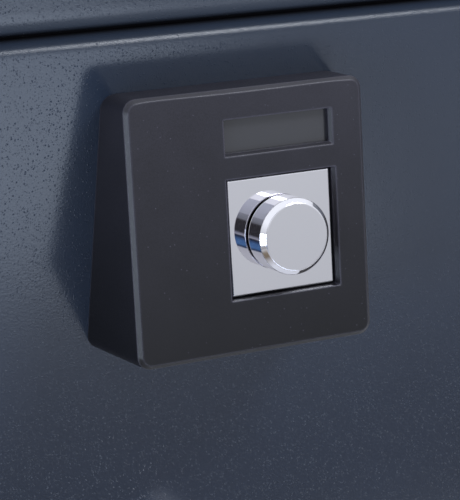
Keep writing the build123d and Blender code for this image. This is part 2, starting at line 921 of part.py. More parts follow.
def lock_bolt_y():
    """Middle of the lock bolt's thickness: in line with the carriage plate."""
    return (carriage_front + carriage_rear) / 2


def lock_screw_spots():
    half = lock_width / 2 - lock_screw_margin
    levels = (lock_bottom + lock_screw_margin, lock_top - lock_screw_margin)
    return [(side * half, z) for side in (-1, 1) for z in levels]


def lock_case():
    """Cast lock case, open to the rear, with screw pillars and a port for its bolt."""
    rear = plate_rear + lock_depth - lock_lid
    half = lock_width / 2
    case = block(-half, half, plate_rear, rear, lock_bottom, lock_top)
    inner = half - lock_wall
    low = lock_bottom + lock_wall
    case -= block(-inner, inner, plate_rear + lock_wall, rear + 1, low, lock_top - lock_wall)
    for x, z in lock_screw_spots():
        case += rod_y(lock_screw_head, x, plate_rear, rear - lock_screw_head_height, z)
    for x, z in lock_screw_spots():
        case -= rod_y(lock_screw_radius + hole_gap, x, plate_rear - 1, rear + 1, z)
    port_w = lock_bolt_width / 2 + lock_bolt_gap
    port_t = lock_bolt_thickness / 2 + lock_bolt_gap
    mid = lock_bolt_y()
    case -= block(-port_w, port_w, mid - port_t, mid + port_t, lock_bottom - 1, lock_bottom + lock_wall + 1)
    return case - rod_z(cable_radius + hole_gap, 0, cable_inner_y(), lock_top - lock_wall - 1, lock_top + 1)


def lock_cover():
    """Lid of the lock case."""
    rear = plate_rear + lock_depth
    return block(-lock_width / 2, lock_width / 2, rear - lock_lid, rear, lock_bottom, lock_top)


def lock_screws():
    """Screws from the case's pillars to the back plate."""
    seat = plate_rear + lock_depth - lock_lid - lock_screw_head_height
    screws = []
    for x, z in lock_screw_spots():
        screw = rod_y(lock_screw_radius, x, plate_rear, seat, z)
        head_end = seat + lock_screw_head_height - hole_gap
        screws.append(screw + rod_y(lock_screw_head, x, seat, head_end, z))
    return group(screws)


def lock_bolt():
    """Brass bolt of the lock, with a bevelled tip corner."""
    half = lock_bolt_width / 2
    mid = lock_bolt_y()
    bolt = block(
        -half, half, mid - lock_bolt_thickness / 2, mid + lock_bolt_thickness / 2,
        lock_bottom, lock_bottom + lock_bolt_length,
    )
    corner = bolt.edges().filter_by(Axis.Y).group_by(Axis.Z)[0]
    return chamfer(corner, 1.0)


def lock_motor():
    """Small gear motor that frees or blocks the bolt."""
    rear = plate_rear + lock_depth - lock_lid
    mid = rear - lock_motor_radius
    low = lock_bottom + lock_wall + lock_bolt_thickness
    motor = rod_z(lock_motor_radius, 0, mid, low, low + lock_motor_length)
    top = low + lock_motor_length
    motor += rod_z(lock_motor_radius * 0.4, 0, mid, top, top + lock_motor_nose)
    return motor


def lock_board():
    """Circuit board of the lock, above the bolt."""
    half = lock_width / 2 - lock_screw_margin - lock_screw_head - lock_board_gap
    top = lock_top - lock_wall - lock_board_gap
    low = lock_bottom + lock_bolt_length + lock_board_gap
    y = plate_rear + lock_wall
    return block(-half, half, y, y + lock_board_thickness, low, top)


def cable_inner_y():
    return plate_rear + lock_depth / 2


def lock_cable():
    """Cable from the entry unit's board through the door and down into the lock case."""
    board_rear = entry_face.origin.Y + (board_level + board_thickness) / math.cos(tilt)
    start = board_rear + cable_radius * math.tan(tilt) + cable_gap
    path = FilletPolyline(
        (0, start, cable_z), (0, cable_inner_y(), cable_z), (0, cable_inner_y(), lock_top - lock_wall),
        radius=cable_bend,
    )
    section = Plane(origin=(0, start, cable_z), z_dir=(0, 1, 0)) * Circle(cable_radius)
    return sweep(section, path=path)


# Entry unit

def entry_body(inset, level):
    """The wedge's outline drawn at one level of the tilted face and run back with draft."""
    depth = entry_face_depth + entry_slope_length * math.sin(tilt)
    outline = Pos(0, 0, level) * RectangleRounded(
        entry_width - 2 * inset, entry_slope_length - 2 * inset, max(entry_corner - inset, entry_bevel)
    )
    return extrude(outline, amount=-depth, taper=-entry_draft)


def door_side():
    """Everything behind the leaf's front, to cut the wedge off at the door."""
    return centred(3 * entry_width, leaf_front, leaf_front + 2 * entry_width, 6 * entry_width, entry_z)


def cutout(across, up, width, height, rim_level, side_bevel, lower_bevel, bevel_depth):
    """(what is cut, what is added) for a cut-out with a rim behind the wall.

    Its right-hand edge is bevelled by side_bevel, and its lower edge by lower_bevel."""
    hole = face_box(across, up, width, height, 0, rim_level - 1)
    rim = face_box(across, up, width + 2 * rim_wall, height + 2 * rim_wall, -entry_wall / 2, rim_level)
    wide = Pos(across + side_bevel / 2, up - lower_bevel / 2, 0) * Rectangle(
        width + side_bevel, height + lower_bevel
    )
    narrow = Pos(across, up, -bevel_depth) * Rectangle(width, height)
    return hole + loft([wide, narrow]), rim


def display_cutout():
    return cutout(
        display_across, display_up, display_width, display_height, -display_recess,
        display_bevel, display_bevel, display_bevel_depth,
    )


def plate_cutout():
    """The cut-out leaves more room on the plate's left, where its rounded edge shows."""
    across = knob_plate_across - (cutout_left_gap - cutout_gap) / 2
    width = knob_plate_width + cutout_left_gap + cutout_gap
    height = knob_plate_height + 2 * cutout_gap
    return cutout(
        across, knob_plate_up, width, height, chassis_front + cutout_gap,
        plate_bevel, cutout_gap, plate_bevel_depth,
    )


def entry_housing():
    """Moulded wedge housing with a bevelled face, a display cut-out and the knob plate's cut-out."""
    body = entry_body(0, 0)
    body = chamfer(body.faces().sort_by(Axis.Z)[-1].edges(), entry_bevel)
    body = fillet(body.faces().sort_by(Axis.Z)[-1].edges(), entry_bevel_radius)
    body -= entry_body(entry_wall, -entry_wall)
    holes = []
    for hole, rim in (display_cutout(), plate_cutout()):
        body += rim
        holes.append(hole)
    for hole in holes:
        body -= hole
    for x in (-base_tab_across, base_tab_across):
        body -= bottom_rod(housing_screw_radius + hole_gap, x, -2 * entry_wall, entry_wall)
    return on_face(body) - door_side()


def bottom_level():
    """Level along the face's normal of the screws in the underside."""
    door_level = -(entry_face_depth + entry_slope_length / 2 * math.sin(tilt)) / math.cos(tilt)
    return door_level + base_tab_length + base_sheet


def bottom_up(level):
    """Height on the tilted face of the underside at a level."""
    return -entry_slope_length / 2 + level * math.tan(math.radians(entry_draft))


def bottom_rod(radius, across, start, end):
    """A cylinder square to the underside; start and end are measured outwards from it."""
    level = bottom_level()
    up = bottom_up(level)
    return Pos(across, up - (start + end) / 2, level) * Rot(90, 0, 0) * Cylinder(radius, end - start)


def housing_screws():
    """Two screws in the underside that hold the housing on its base."""
    screws = []
    for x in (-base_tab_across, base_tab_across):
        screw = bottom_rod(housing_screw_radius, x, -entry_wall - base_tab_thickness, hole_gap)
        screws.append(screw + bottom_rod(housing_screw_head, x, hole_gap, housing_screw_head_height))
    return group([on_face(s) for s in screws])


def entry_base():
    """Base sheet on the door, with two tabs for the housing's screws."""
    reach = entry_face_depth + base_sheet
    shape = on_face(entry_body(entry_wall + base_gap, -entry_wall))
    slab = centred(3 * entry_width, leaf_front - base_sheet, leaf_front, 4 * entry_width, entry_z)
    base = shape & slab
    level = bottom_level()
    for x in (-base_tab_across, base_tab_across):
        up = bottom_up(level) + entry_wall + base_tab_thickness / 2 + base_tab_gap
        front = level + base_tab_length / 2
        tab = face_box(x, up, base_tab_width, base_tab_thickness, front, level - reach)
        tab -= bottom_rod(housing_screw_radius + hole_gap, x, -entry_wall - 2 * base_tab_thickness, 1)
        base += on_face(tab) - door_side()
    base -= rod_y(cable_hole, 0, leaf_front - base_sheet - 1, leaf_front + 1, cable_z)
    for x, z in base_screw_spots():
        base -= rod_y(base_screw_radius + hole_gap, x, leaf_front - base_sheet - 1, leaf_front + 1, z)
    return base


def entry_base_screws():
    """Four screws that hold the base on the leaf."""
    seat = leaf_front - base_sheet
    screws = []
    for x, z in base_screw_spots():
        screw = rod_y(base_screw_radius, x, seat, seat + base_screw_length, z)
        screws.append(screw + rod_y(base_screw_head, x, seat - base_screw_head_height, seat, z))
    return group(screws)


def entry_chassis():
    """Inner frame that carries the plate, window, board and encoder behind the face."""
    body = entry_body(entry_wall + chassis_gap, -entry_wall)
    body &= face_box(0, 0, 2 * entry_width, 2 * entry_width, chassis_front, encoder_front)
    body -= face_rod(encoder_neck + hole_gap, 0, encoder_front - 1)
    wide = display_width - 2 * window_border
    tall = display_height - window_border
    body -= face_box(display_across, display_up, wide, tall, 0, encoder_front - 1)
    return on_face(body)


def display_window():
    """Smoked window behind the display cut-out."""
    side = display_width + 2 * window_border
    tall = display_height + 2 * window_border
    return on_face(face_box(display_across, display_up, side, tall, -display_recess, chassis_front))


def display_module():
    """Display behind the chassis."""
    wide = display_width + 2 * module_margin
    tall = display_height + 2 * module_margin
    return on_face(
        face_box(display_across, display_up, wide, tall, encoder_front, encoder_front - module_thickness)
    )


def knob_plate():
    """Polished square plate with softened edges."""
    plate = face_box(
        knob_plate_across, knob_plate_up, knob_plate_width, knob_plate_height,
        -knob_plate_recess, chassis_front,
    )
    plate = fillet(plate.edges().filter_by(Axis.Z), knob_plate_corner)
    plate = fillet(plate.faces().sort_by(Axis.Z)[-1].edges(), knob_plate_edge)
    return on_face(plate - face_rod(encoder_neck + hole_gap, 0, chassis_front - 1))


def main_board():
    """Circuit board behind the chassis."""
    body = entry_body(entry_wall + board_margin, -entry_wall)
    body &= face_box(0, 0, 2 * entry_width, 2 * entry_width, -board_level, -board_level - board_thickness)
    foot_mid = board_foot - entry_slope_length
    body -= face_box(0, foot_mid, 2 * entry_width, entry_slope_length, 0, -2 * board_level)
    return on_face(body)


def encoder_body():
    """Rotary encoder on the board, with its neck through the plate, hollow for the rotor and the switch."""
    rear = -board_level
    body = face_box(knob_plate_across, knob_plate_up, encoder_side, encoder_side, encoder_front, rear)
    body += face_rod(encoder_neck, encoder_neck_proud - knob_plate_recess, encoder_front)
    rotor_rear = rotor_front() - rotor_thickness
    body -= face_rod(rotor_radius + rotor_gap, rotor_front() + rotor_gap, rotor_rear - rotor_gap)
    body -= face_rod(shaft_radius + rotor_gap, knob_front, rear - 1)
    well = switch_side + 2 * switch_gap
    body -= face_box(knob_plate_across, knob_plate_up, well, well, switch_top(), rear - 1)
    return on_face(body)


def rotor_front():
    return encoder_front - encoder_wall - rotor_gap


def shaft_section(gap):
    """D-shaped outline of the shaft, grown by gap."""
    side = 2 * (shaft_radius + gap) + 2
    cut = Pos(0, -(shaft_flat + gap) - side / 2) * Rectangle(side, side)
    return Circle(shaft_radius + gap) - cut


def shaft_rod(level0, level1, gap=0.0):
    """The shaft's outline run from level0 down to level1."""
    outline = Pos(knob_plate_across, knob_plate_up, level1) * shaft_section(gap)
    return extrude(outline, amount=level0 - level1)


def encoder_rotor():
    """Rotor that turns with the knob; the flatted shaft slides through it."""
    rotor = face_rod(rotor_radius, rotor_front(), rotor_front() - rotor_thickness)
    return on_face(rotor - shaft_rod(rotor_front() + 1, rotor_front() - rotor_thickness - 1, shaft_gap))


def press_switch():
    """Push switch on the board, under the shaft's end."""
    level = -board_level
    shoulder = level + switch_height / 2
    body = face_box(knob_plate_across, knob_plate_up, switch_side, switch_side, shoulder, level)
    return on_face(body + face_rod(switch_side / 4, shoulder, level + switch_height))


def switch_top():
    """Level of the shaft's end at rest."""
    return -board_level + switch_height + knob_travel


def shaft_front():
    return knob_front - knob_wall - knob_seat


def knob_shaft():
    """Flatted shaft from the knob through the rotor to the switch."""
    return on_face(shaft_rod(shaft_front(), switch_top() + switch_gap))


def knob_cap():
    """Round knob: a chamfered cup with a hub for the shaft."""
    low = knob_floor + knob_lift
    shoulder = knob_front - knob_chamfer_along
    r_in = knob_radius - knob_wall
    roof = knob_front - knob_wall
    hub_low = low + knob_hub_setback
    outline = Polyline(
        (0, knob_front), (knob_radius - knob_chamfer_across, knob_front), (knob_radius, shoulder),
        (knob_radius, low), (r_in, low), (r_in, roof), (knob_hub, roof), (knob_hub, hub_low), (0, hub_low),
        close=True,
    )
    section = make_face(outline)
    rim = [corner for corner in section.vertices() if corner.Y > roof and corner.X > knob_hub]
    cap = revolve(Plane.XZ * fillet(rim, knob_edge_radius), axis=Axis.Z)
    cap = Pos(knob_plate_across, knob_plate_up, 0) * cap
    return on_face(cap - shaft_rod(shaft_front(), hub_low - 1))


def battery_spots():
    """(x, z) of each cell's middle; two cells lie end to end in each row."""
    pitch = 2 * battery_radius + battery_wall
    half = (battery_length + battery_nub_height) / 2
    spots = []
    for row in range(battery_rows):
        z = entry_z + battery_up + row * pitch
        spots += [(-half - battery_gap, z), (half + battery_gap, z)]
    return spots


def battery_y():
    return leaf_front - base_sheet - battery_wall - battery_radius - battery_gap


def batteries():
    """Round cells, each with a contact nub."""
    cells = []
    for x, z in battery_spots():
        x0 = x - (battery_length + battery_nub_height) / 2
        x1 = x0 + battery_length
        cell = rod_x(battery_radius, x0, x1, battery_y(), z)
        cells.append(cell + rod_x(battery_nub, x1, x1 + battery_nub_height, battery_y(), z))
    return group(cells)


def battery_holder():
    """Moulded trough for the cells, fixed on the base sheet."""
    pitch = 2 * battery_radius + battery_wall
    low = entry_z + battery_up - battery_radius - battery_wall
    top = low + battery_rows * pitch + battery_wall
    half = battery_length + battery_nub_height + battery_gap + battery_end
    rear = leaf_front - base_sheet
    tray = block(-half, half, battery_y(), rear, low, top)
    for row in range(battery_rows):
        z = entry_z + battery_up + row * pitch
        clear = battery_radius + battery_gap
        tray -= rod_x(clear, battery_wall - half, half - battery_wall, battery_y(), z)
    return tray


NODES = {
    "outer_shell": outer_shell,
    "barrier_fill": barrier_fill,
    "inner_liner": inner_liner,
    "front_frame": front_frame,
    "door_seal": door_seal,
    "anchor_sleeves": anchor_sleeves,
    "shelf": shelf,
    "shelf_studs": shelf_studs,
    "hinge_body_upper": lambda: hinge_body(1),
    "hinge_body_lower": lambda: hinge_body(-1),
    "hinge_pins": hinge_pins,
    "hinge_washers": hinge_washers,
    "hinge_door_upper": lambda: hinge_door(1),
    "hinge_door_lower": lambda: hinge_door(-1),
    "door_skin": door_skin,
    "door_armour": door_armour,
    "plug_fill": plug_fill,
    "door_back_plate": door_back_plate,
    "boltwork_frame": boltwork_frame,
    "cover_posts": cover_posts,
    "boltwork_cover": boltwork_cover,
    "cover_screws": cover_screws,
    "fixed_dogs": fixed_dogs,
    "bolt_guides": bolt_guides,
    "guide_studs": guide_studs,
    "bolt_carriage": bolt_carriage,
    "locking_bolts": locking_bolts,
    "bolt_screws": bolt_screws,
    "handle_rosette": handle_rosette,
    "spindle_bush_front": spindle_bush_front,
    "spindle_bush_rear": spindle_bush_rear,
    "handle_lever": handle_lever,
    "handle_set_screw": handle_set_screw,
    "handle_spindle": handle_spindle,
    "drive_cam": drive_cam,
    "cam_screw": cam_screw,
    "lock_case": lock_case,
    "lock_cover": lock_cover,
    "lock_screws": lock_screws,
    "lock_bolt": lock_bolt,
    "lock_motor": lock_motor,
    "lock_board": lock_board,
    "lock_cable": lock_cable,
    "entry_housing": entry_housing,
    "housing_screws": housing_screws,
    "entry_base": entry_base,
    "entry_base_screws": entry_base_screws,
    "entry_chassis": entry_chassis,
    "display_window": display_window,
    "display_module": display_module,
    "knob_plate": knob_plate,
    "main_board": main_board,
    "encoder_body": encoder_body,
    "encoder_rotor": encoder_rotor,
    "press_switch": press_switch,
    "knob_shaft": knob_shaft,
    "knob_cap": knob_cap,
    "batteries": batteries,
    "battery_holder": battery_holder,
}


def main():
    os.makedirs("parts", exist_ok=True)
    for name, make in NODES.items():
        export_step(make(), f"parts/{name}.step")
    axis = entry_face.z_dir
    knob_point = on_face(Pos(knob_plate_across, knob_plate_up, 0) * Vertex(0, 0, 0)).center()
    print("hinge axis x, y:", round(hinge_x, 3), round(hinge_y, 3))
    print("handle z:", handle_z, "bolt y:", round(bolt_y, 3), "leaf front y:", round(leaf_front, 3))
    print("knob axis:", tuple(round(v, 6) for v in axis), "through", tuple(round(v, 4) for v in knob_point))


main()
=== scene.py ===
"""Finishes, trim and stage for a freestanding security safe with an electronic entry unit on its door."""

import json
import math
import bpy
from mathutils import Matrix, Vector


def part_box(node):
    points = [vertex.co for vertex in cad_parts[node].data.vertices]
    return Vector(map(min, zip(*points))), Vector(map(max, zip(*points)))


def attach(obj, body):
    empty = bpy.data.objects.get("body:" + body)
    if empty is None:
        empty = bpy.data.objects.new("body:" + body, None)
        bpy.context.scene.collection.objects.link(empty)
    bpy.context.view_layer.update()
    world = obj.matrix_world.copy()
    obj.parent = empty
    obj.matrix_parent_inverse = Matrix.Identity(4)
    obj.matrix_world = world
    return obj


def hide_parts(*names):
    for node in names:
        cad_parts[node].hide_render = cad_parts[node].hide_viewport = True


bl_info = {
    "name": "Security Safe",
    "version": (1, 0, 0),
    "blender": (4, 5, 0),
    "location": "View3D > Sidebar > Safe",
    "description": "Paint, plastic, chrome and trim for a freestanding safe, with its studio stage",
    "category": "Object",
}

import bpy
import numpy as np
from mathutils import Matrix, Vector

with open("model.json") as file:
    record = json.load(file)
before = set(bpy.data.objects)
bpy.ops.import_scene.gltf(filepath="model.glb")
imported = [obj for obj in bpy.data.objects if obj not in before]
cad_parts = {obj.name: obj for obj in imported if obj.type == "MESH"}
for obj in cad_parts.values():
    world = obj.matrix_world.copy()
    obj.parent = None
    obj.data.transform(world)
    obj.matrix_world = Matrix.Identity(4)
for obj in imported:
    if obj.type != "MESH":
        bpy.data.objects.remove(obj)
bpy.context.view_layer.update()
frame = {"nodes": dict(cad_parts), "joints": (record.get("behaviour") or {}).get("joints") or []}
IMAGE_LONG_SIDE = 500
LENS_SENSOR = 36.0
BEVEL_SAMPLES = 6
SMEAR_DEPTH = 0.0000004
SCRATCH_DEPTH = 0.000004
RINGS_PER_METRE = 2600.0
KNOB_EDGE = 0.0009
PLATE_EDGE = 0.0005
# Painted shade: the near-black painted into the door's gap on leaf and frame, and the skin's gloss there
GAP_PAINTED_SHADE = (0.001, 0.001, 0.002)
GAP_GLOSS = 0.05
# Width and colour of the painted highlight band on the frame beside the door's gap
FRAME_HIGHLIGHT_WIDTH = 0.02
FRAME_HIGHLIGHT_COLOUR = (0.06, 0.073, 0.10)
# Painted shade: share of the housing's colour left at its foot
FOOT_SHADE = 0.12
# Painted highlight: how much lighter the housing's sharp edges are painted
EDGE_HIGHLIGHT = 2.8
DUST = 3.0
LAMP_AIM = (0.0, -0.25, 0.5)
SEAL_SHARE = 0.8
WELD_START = 0.012
WELD_END = 0.002
WELD_RIPPLE = 0.0032


# Node helpers

class Finish:
    """A material under construction: its node tree, shader and Object coordinates."""

    def __init__(self, name):
        self.material = bpy.data.materials.new(name)
        self.material.use_nodes = True
        self.tree = self.material.node_tree
        self.tree.nodes.clear()
        self.shader = self.node("ShaderNodeBsdfPrincipled")
        output = self.node("ShaderNodeOutputMaterial")
        self.link(self.shader.outputs["BSDF"], output.inputs["Surface"])
        self.place = self.node("ShaderNodeTexCoord").outputs["Object"]

    def node(self, kind, **values):
        made = self.tree.nodes.new(kind)
        for key, value in values.items():
            setattr(made, key, value)
        return made

    def link(self, start, end):
        self.tree.links.new(start, end)

    def set(self, **values):
        """Constant values, straight on the shader's sockets."""
        for key, value in values.items():
            socket = self.shader.inputs[key.replace("_", " ")]
            socket.default_value = (*value, 1.0) if isinstance(value, tuple) else value

    def stretched(self, scale):
        """Object coordinates scaled unevenly, for brushed and drawn surfaces."""
        mapping = self.node("ShaderNodeMapping")
        mapping.inputs["Scale"].default_value = scale
        self.link(self.place, mapping.inputs["Vector"])
        return mapping.outputs["Vector"]

    def noise(self, grain, detail=2.0, roughness=0.5, place=None):
        """Noise whose features are about grain metres across."""
        texture = self.node("ShaderNodeTexNoise")
        texture.inputs["Scale"].default_value = 1.0 / grain
        texture.inputs["Detail"].default_value = detail
        texture.inputs["Roughness"].default_value = roughness
        self.link(place or self.place, texture.inputs["Vector"])
        return texture.outputs["Fac"]

    def cells(self, grain):
        """Distance to the nearest of scattered points about grain metres apart."""
        texture = self.node("ShaderNodeTexVoronoi")
        texture.inputs["Scale"].default_value = 1.0 / grain
        self.link(self.place, texture.inputs["Vector"])
        return texture.outputs["Distance"]

    def dots(self, spacing, reach, crowding, least, most):
        """Cones round scattered points; crowding and each point's own luck decide how high they stand."""
        texture = self.node("ShaderNodeTexVoronoi")
        texture.inputs["Scale"].default_value = 1.0 / spacing
        self.link(self.place, texture.inputs["Vector"])
        cone = self.span(texture.outputs["Distance"], 0.04, reach, 1.0, 0.0)
        luck = self.node("ShaderNodeSeparateColor")
        self.link(texture.outputs["Color"], luck.inputs["Color"])
        return self.multiply(cone, self.span(self.add(luck.outputs["Red"], crowding, 0.9), least, most))

    def span(self, value, low, high, to_low=0.0, to_high=1.0):
        """Maps low..high to to_low..to_high, clamped."""
        node = self.node("ShaderNodeMapRange", clamp=True)
        self.link(value, node.inputs["Value"])
        for key, number in zip(("From Min", "From Max", "To Min", "To Max"), (low, high, to_low, to_high)):
            node.inputs[key].default_value = number
        return node.outputs["Result"]

    def blend(self, factor, first, second):
        """A colour between two colours or sockets."""
        node = self.node("ShaderNodeMix", data_type="RGBA")
        self.link(factor, node.inputs["Factor"])
        for socket, value in ((node.inputs[6], first), (node.inputs[7], second)):
            if isinstance(value, tuple):
                socket.default_value = (*value, 1.0)
            else:
                self.link(value, socket)
        return node.outputs[2]

    def add(self, first, second, share=1.0):
        """first + share * second."""
        node = self.node("ShaderNodeMath", operation="MULTIPLY_ADD")
        self.link(second, node.inputs[0])
        node.inputs[1].default_value = share
        self.link(first, node.inputs[2])
        return node.outputs["Value"]

    def along(self, axis):
        """One Object coordinate."""
        node = self.node("ShaderNodeSeparateXYZ")
        self.link(self.place, node.inputs["Vector"])
        return node.outputs[axis]

    def ramp(self, value, *stops):
        """A colour that follows value through (place, colour) stops."""
        node = self.node("ShaderNodeValToRGB")
        elements = node.color_ramp.elements
        while len(elements) < len(stops):
            elements.new(0.5)
        for element, (place, colour) in zip(elements, stops):
            element.position = place
            element.color = (*colour, 1.0)
        self.link(value, node.inputs["Fac"])
        return node.outputs["Color"]

    def multiply(self, first, second):
        node = self.node("ShaderNodeMath", operation="MULTIPLY")
        self.link(first, node.inputs[0])
        self.link(second, node.inputs[1])
        return node.outputs["Value"]

    def outside(self, low, high):
        """Distance outside a rectangle in X and Z, negative inside it."""
        reach = []
        for axis in ("X", "Z"):
            low_end, high_end = getattr(low, axis.lower()), getattr(high, axis.lower())
            centred = self.node("ShaderNodeMath", operation="SUBTRACT")
            self.link(self.along(axis), centred.inputs[0])
            centred.inputs[1].default_value = (low_end + high_end) / 2
            size = self.node("ShaderNodeMath", operation="ABSOLUTE")
            self.link(centred.outputs["Value"], size.inputs[0])
            beyond = self.node("ShaderNodeMath", operation="SUBTRACT")
            self.link(size.outputs["Value"], beyond.inputs[0])
            beyond.inputs[1].default_value = (high_end - low_end) / 2
            reach.append(beyond.outputs["Value"])
        node = self.node("ShaderNodeMath", operation="MAXIMUM")
        self.link(reach[0], node.inputs[0])
        self.link(reach[1], node.inputs[1])
        return node.outputs["Value"]

    def edges(self, width):
        """1 on sharp edges, fading to 0 over the given width on both sides."""
        rounded = self.node("ShaderNodeBevel", samples=BEVEL_SAMPLES)
        rounded.inputs["Radius"].default_value = width
        likeness = self.node("ShaderNodeVectorMath", operation="DOT_PRODUCT")
        self.link(rounded.outputs["Normal"], likeness.inputs[0])
        self.link(self.node("ShaderNodeNewGeometry").outputs["True Normal"], likeness.inputs[1])
        return self.span(likeness.outputs["Value"], 0.9, 0.995, 1.0, 0.0)

    def relief(self, height, depth, coat=False, edge=0.0):
        """Bump of the given depth in metres, on the surface and, if asked, on its coat.

        Sharp edges look rounded over the width edge. The rounding is in the shading alone."""
        bump = self.node("ShaderNodeBump")
        if edge:
            round_edge = self.node("ShaderNodeBevel", samples=BEVEL_SAMPLES)
            round_edge.inputs["Radius"].default_value = edge
            self.link(round_edge.outputs["Normal"], bump.inputs["Normal"])
        bump.inputs["Distance"].default_value = depth
        bump.inputs["Strength"].default_value = 1.0
        self.link(height, bump.inputs["Height"])
        self.link(bump.outputs["Normal"], self.shader.inputs["Normal"])
        if coat:
            self.link(bump.outputs["Normal"], self.shader.inputs["Coat Normal"])

    def colour(self, socket):
        self.link(socket, self.shader.inputs["Base Color"])

    def rough(self, socket):
        self.link(socket, self.shader.inputs["Roughness"])


def darker(colour, share):
    return tuple(share * channel for channel in colour)


def dress(material, *nodes):
    """Puts a finish on carried-over pieces."""
    for name in nodes:
        piece = frame["nodes"][name]
        if not piece.data.materials:
            piece.data.materials.append(material)
        for slot in piece.material_slots:
            slot.material = material


# Finishes

def pebbled_paint(name, settings, colour, gloss, painted_gap_light=None):
    """Stoved paint: a dark base under a glossy skin with a soft pebble and sharp grains of dust in it.

    The last argument, a function of the finish, gives a colour and a skin for the paint beside the door's
    gap:
    painted shade in the gap and, on the frame, a painted highlight beside it."""
    finish = Finish(name)
    cloud = finish.noise(0.06, 3.0)
    paint = finish.blend(cloud, darker(colour, 0.9), darker(colour, 1.1))
    pebble = finish.noise(settings.pebble, 2.0, 0.45)
    wandering = finish.noise(0.012, 2.0)
    fine = finish.dots(settings.grit_spacing, 0.3, wandering, 0.45, 1.25)
    coarse = finish.dots(settings.grit_spacing * 1.7, 0.27, wandering, 0.75, 1.15)
    grit = finish.add(fine, coarse, 1.5)
    finish.relief(
        finish.add(pebble, grit, settings.grit_height), settings.pebble_depth, coat=True,
        edge=settings.edge_round,
    )
    finish.rough(finish.span(cloud, 0.3, 0.7, 0.42, 0.5))
    finish.set(Specular_IOR_Level=0.1)
    finish.set(Coat_Weight=gloss, Coat_Roughness=settings.coat_roughness, Coat_IOR=settings.coat_ior)
    # Painted shade and painted highlight beside the door's gap, when asked for
    if painted_gap_light:
        paint, skin = painted_gap_light(finish, paint)
        finish.link(skin, finish.shader.inputs["Coat Weight"])
    finish.colour(paint)
    return finish.material


def leaf_painted_gap_shade(finish, paint):
    """The leaf's sides, painted nearly black and without gloss towards the back: painted shade for the dark
    of the gap.

    The painted shade is in the paint's colour, so it stays in any light."""
    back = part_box("door_skin")[1].y
    depth = finish.span(finish.along("Y"), back - 0.0125, back - 0.0008)
    shaded = finish.ramp(depth, (0.0, (0.0, 0.0, 0.0)), (0.5, (0.15, 0.15, 0.15)), (1.0, (1.0, 1.0, 1.0)))
    # Painted shade: black at the back of the leaf's sides, with the skin's gloss taken off there
    return finish.blend(shaded, paint, GAP_PAINTED_SHADE), finish.span(depth, 0.0, 0.45, 1.0, GAP_GLOSS)


def frame_painted_gap_shade_and_highlight(finish, paint):
    """The frame round the leaf: painted shade, black, in the gap, with a painted highlight band beside it,
    in any light.
    """
    away = finish.outside(*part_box("door_skin"))
    # Painted highlight: a lighter band on the frame beside the gap
    beside = finish.ramp(
        finish.span(away, 0.0, FRAME_HIGHLIGHT_WIDTH), (0.05, (0.0, 0.0, 0.0)), (0.17, (0.6, 0.6, 0.6)),
        (0.35, (1.0, 1.0, 1.0)), (0.6, (0.0, 0.0, 0.0)),
    )
    # Painted shade: black in the gap, without the skin's gloss
    dark = finish.span(away, 0.0006, 0.0026, 1.0, 0.0)
    lit = finish.blend(beside, paint, FRAME_HIGHLIGHT_COLOUR)
    return finish.blend(dark, lit, GAP_PAINTED_SHADE), finish.span(dark, 0.0, 1.0, 1.0, GAP_GLOSS)


def moulded_plastic(name, colour, grain, depth, roughness, fade=None, edge=0.0):
    """Fine-grained moulded plastic that sparkles where it faces a light, with the odd speck of dust.

    fade gives the two heights between which its colour is painted darker, a painted shade, down to FOOT_SHADE
    of itself at the lower one. edge is the width over which sharp edges look rounded and are painted lighter,
    a painted highlight."""
    finish = Finish(name)
    cloud = finish.noise(0.03, 2.0)
    speck = finish.noise(grain, 2.0, 0.7)
    mottled = finish.blend(
        finish.span(finish.add(cloud, speck, 1.6), 0.9, 1.7), darker(colour, 0.75), darker(colour, 1.25)
    )
    dust = finish.span(finish.cells(grain * 6), 0.04, 0.09, 1.0, 0.0)
    if fade:
        # Painted shade: the colour darkens towards the lower height
        height = finish.span(finish.along("Z"), *fade)
        mottled = finish.blend(height, darker(colour, FOOT_SHADE), mottled)
    # Painted highlight: sharp edges painted lighter
    if edge:
        mottled = finish.blend(finish.edges(edge * 1.6), mottled, darker(colour, EDGE_HIGHLIGHT))
    finish.colour(finish.blend(dust, mottled, darker(colour, DUST)))
    finish.rough(finish.span(speck, 0.3, 0.7, roughness - 0.08, roughness + 0.08))
    finish.relief(speck, depth, edge=edge)
    finish.set(Specular_IOR_Level=0.32)
    return finish.material


def polished_chrome(name, colour, roughness, edge=0.0):
    """Plated chrome with the lightest smears."""
    finish = Finish(name)
    smear = finish.noise(0.02, 3.0, 0.6)
    finish.colour(finish.blend(smear, darker(colour, 0.985), colour))
    finish.rough(finish.span(smear, 0.35, 0.75, roughness * 0.7, roughness * 1.4))
    if edge:
        finish.relief(smear, SMEAR_DEPTH, edge=edge)
    finish.set(Metallic=1.0)
    return finish.material


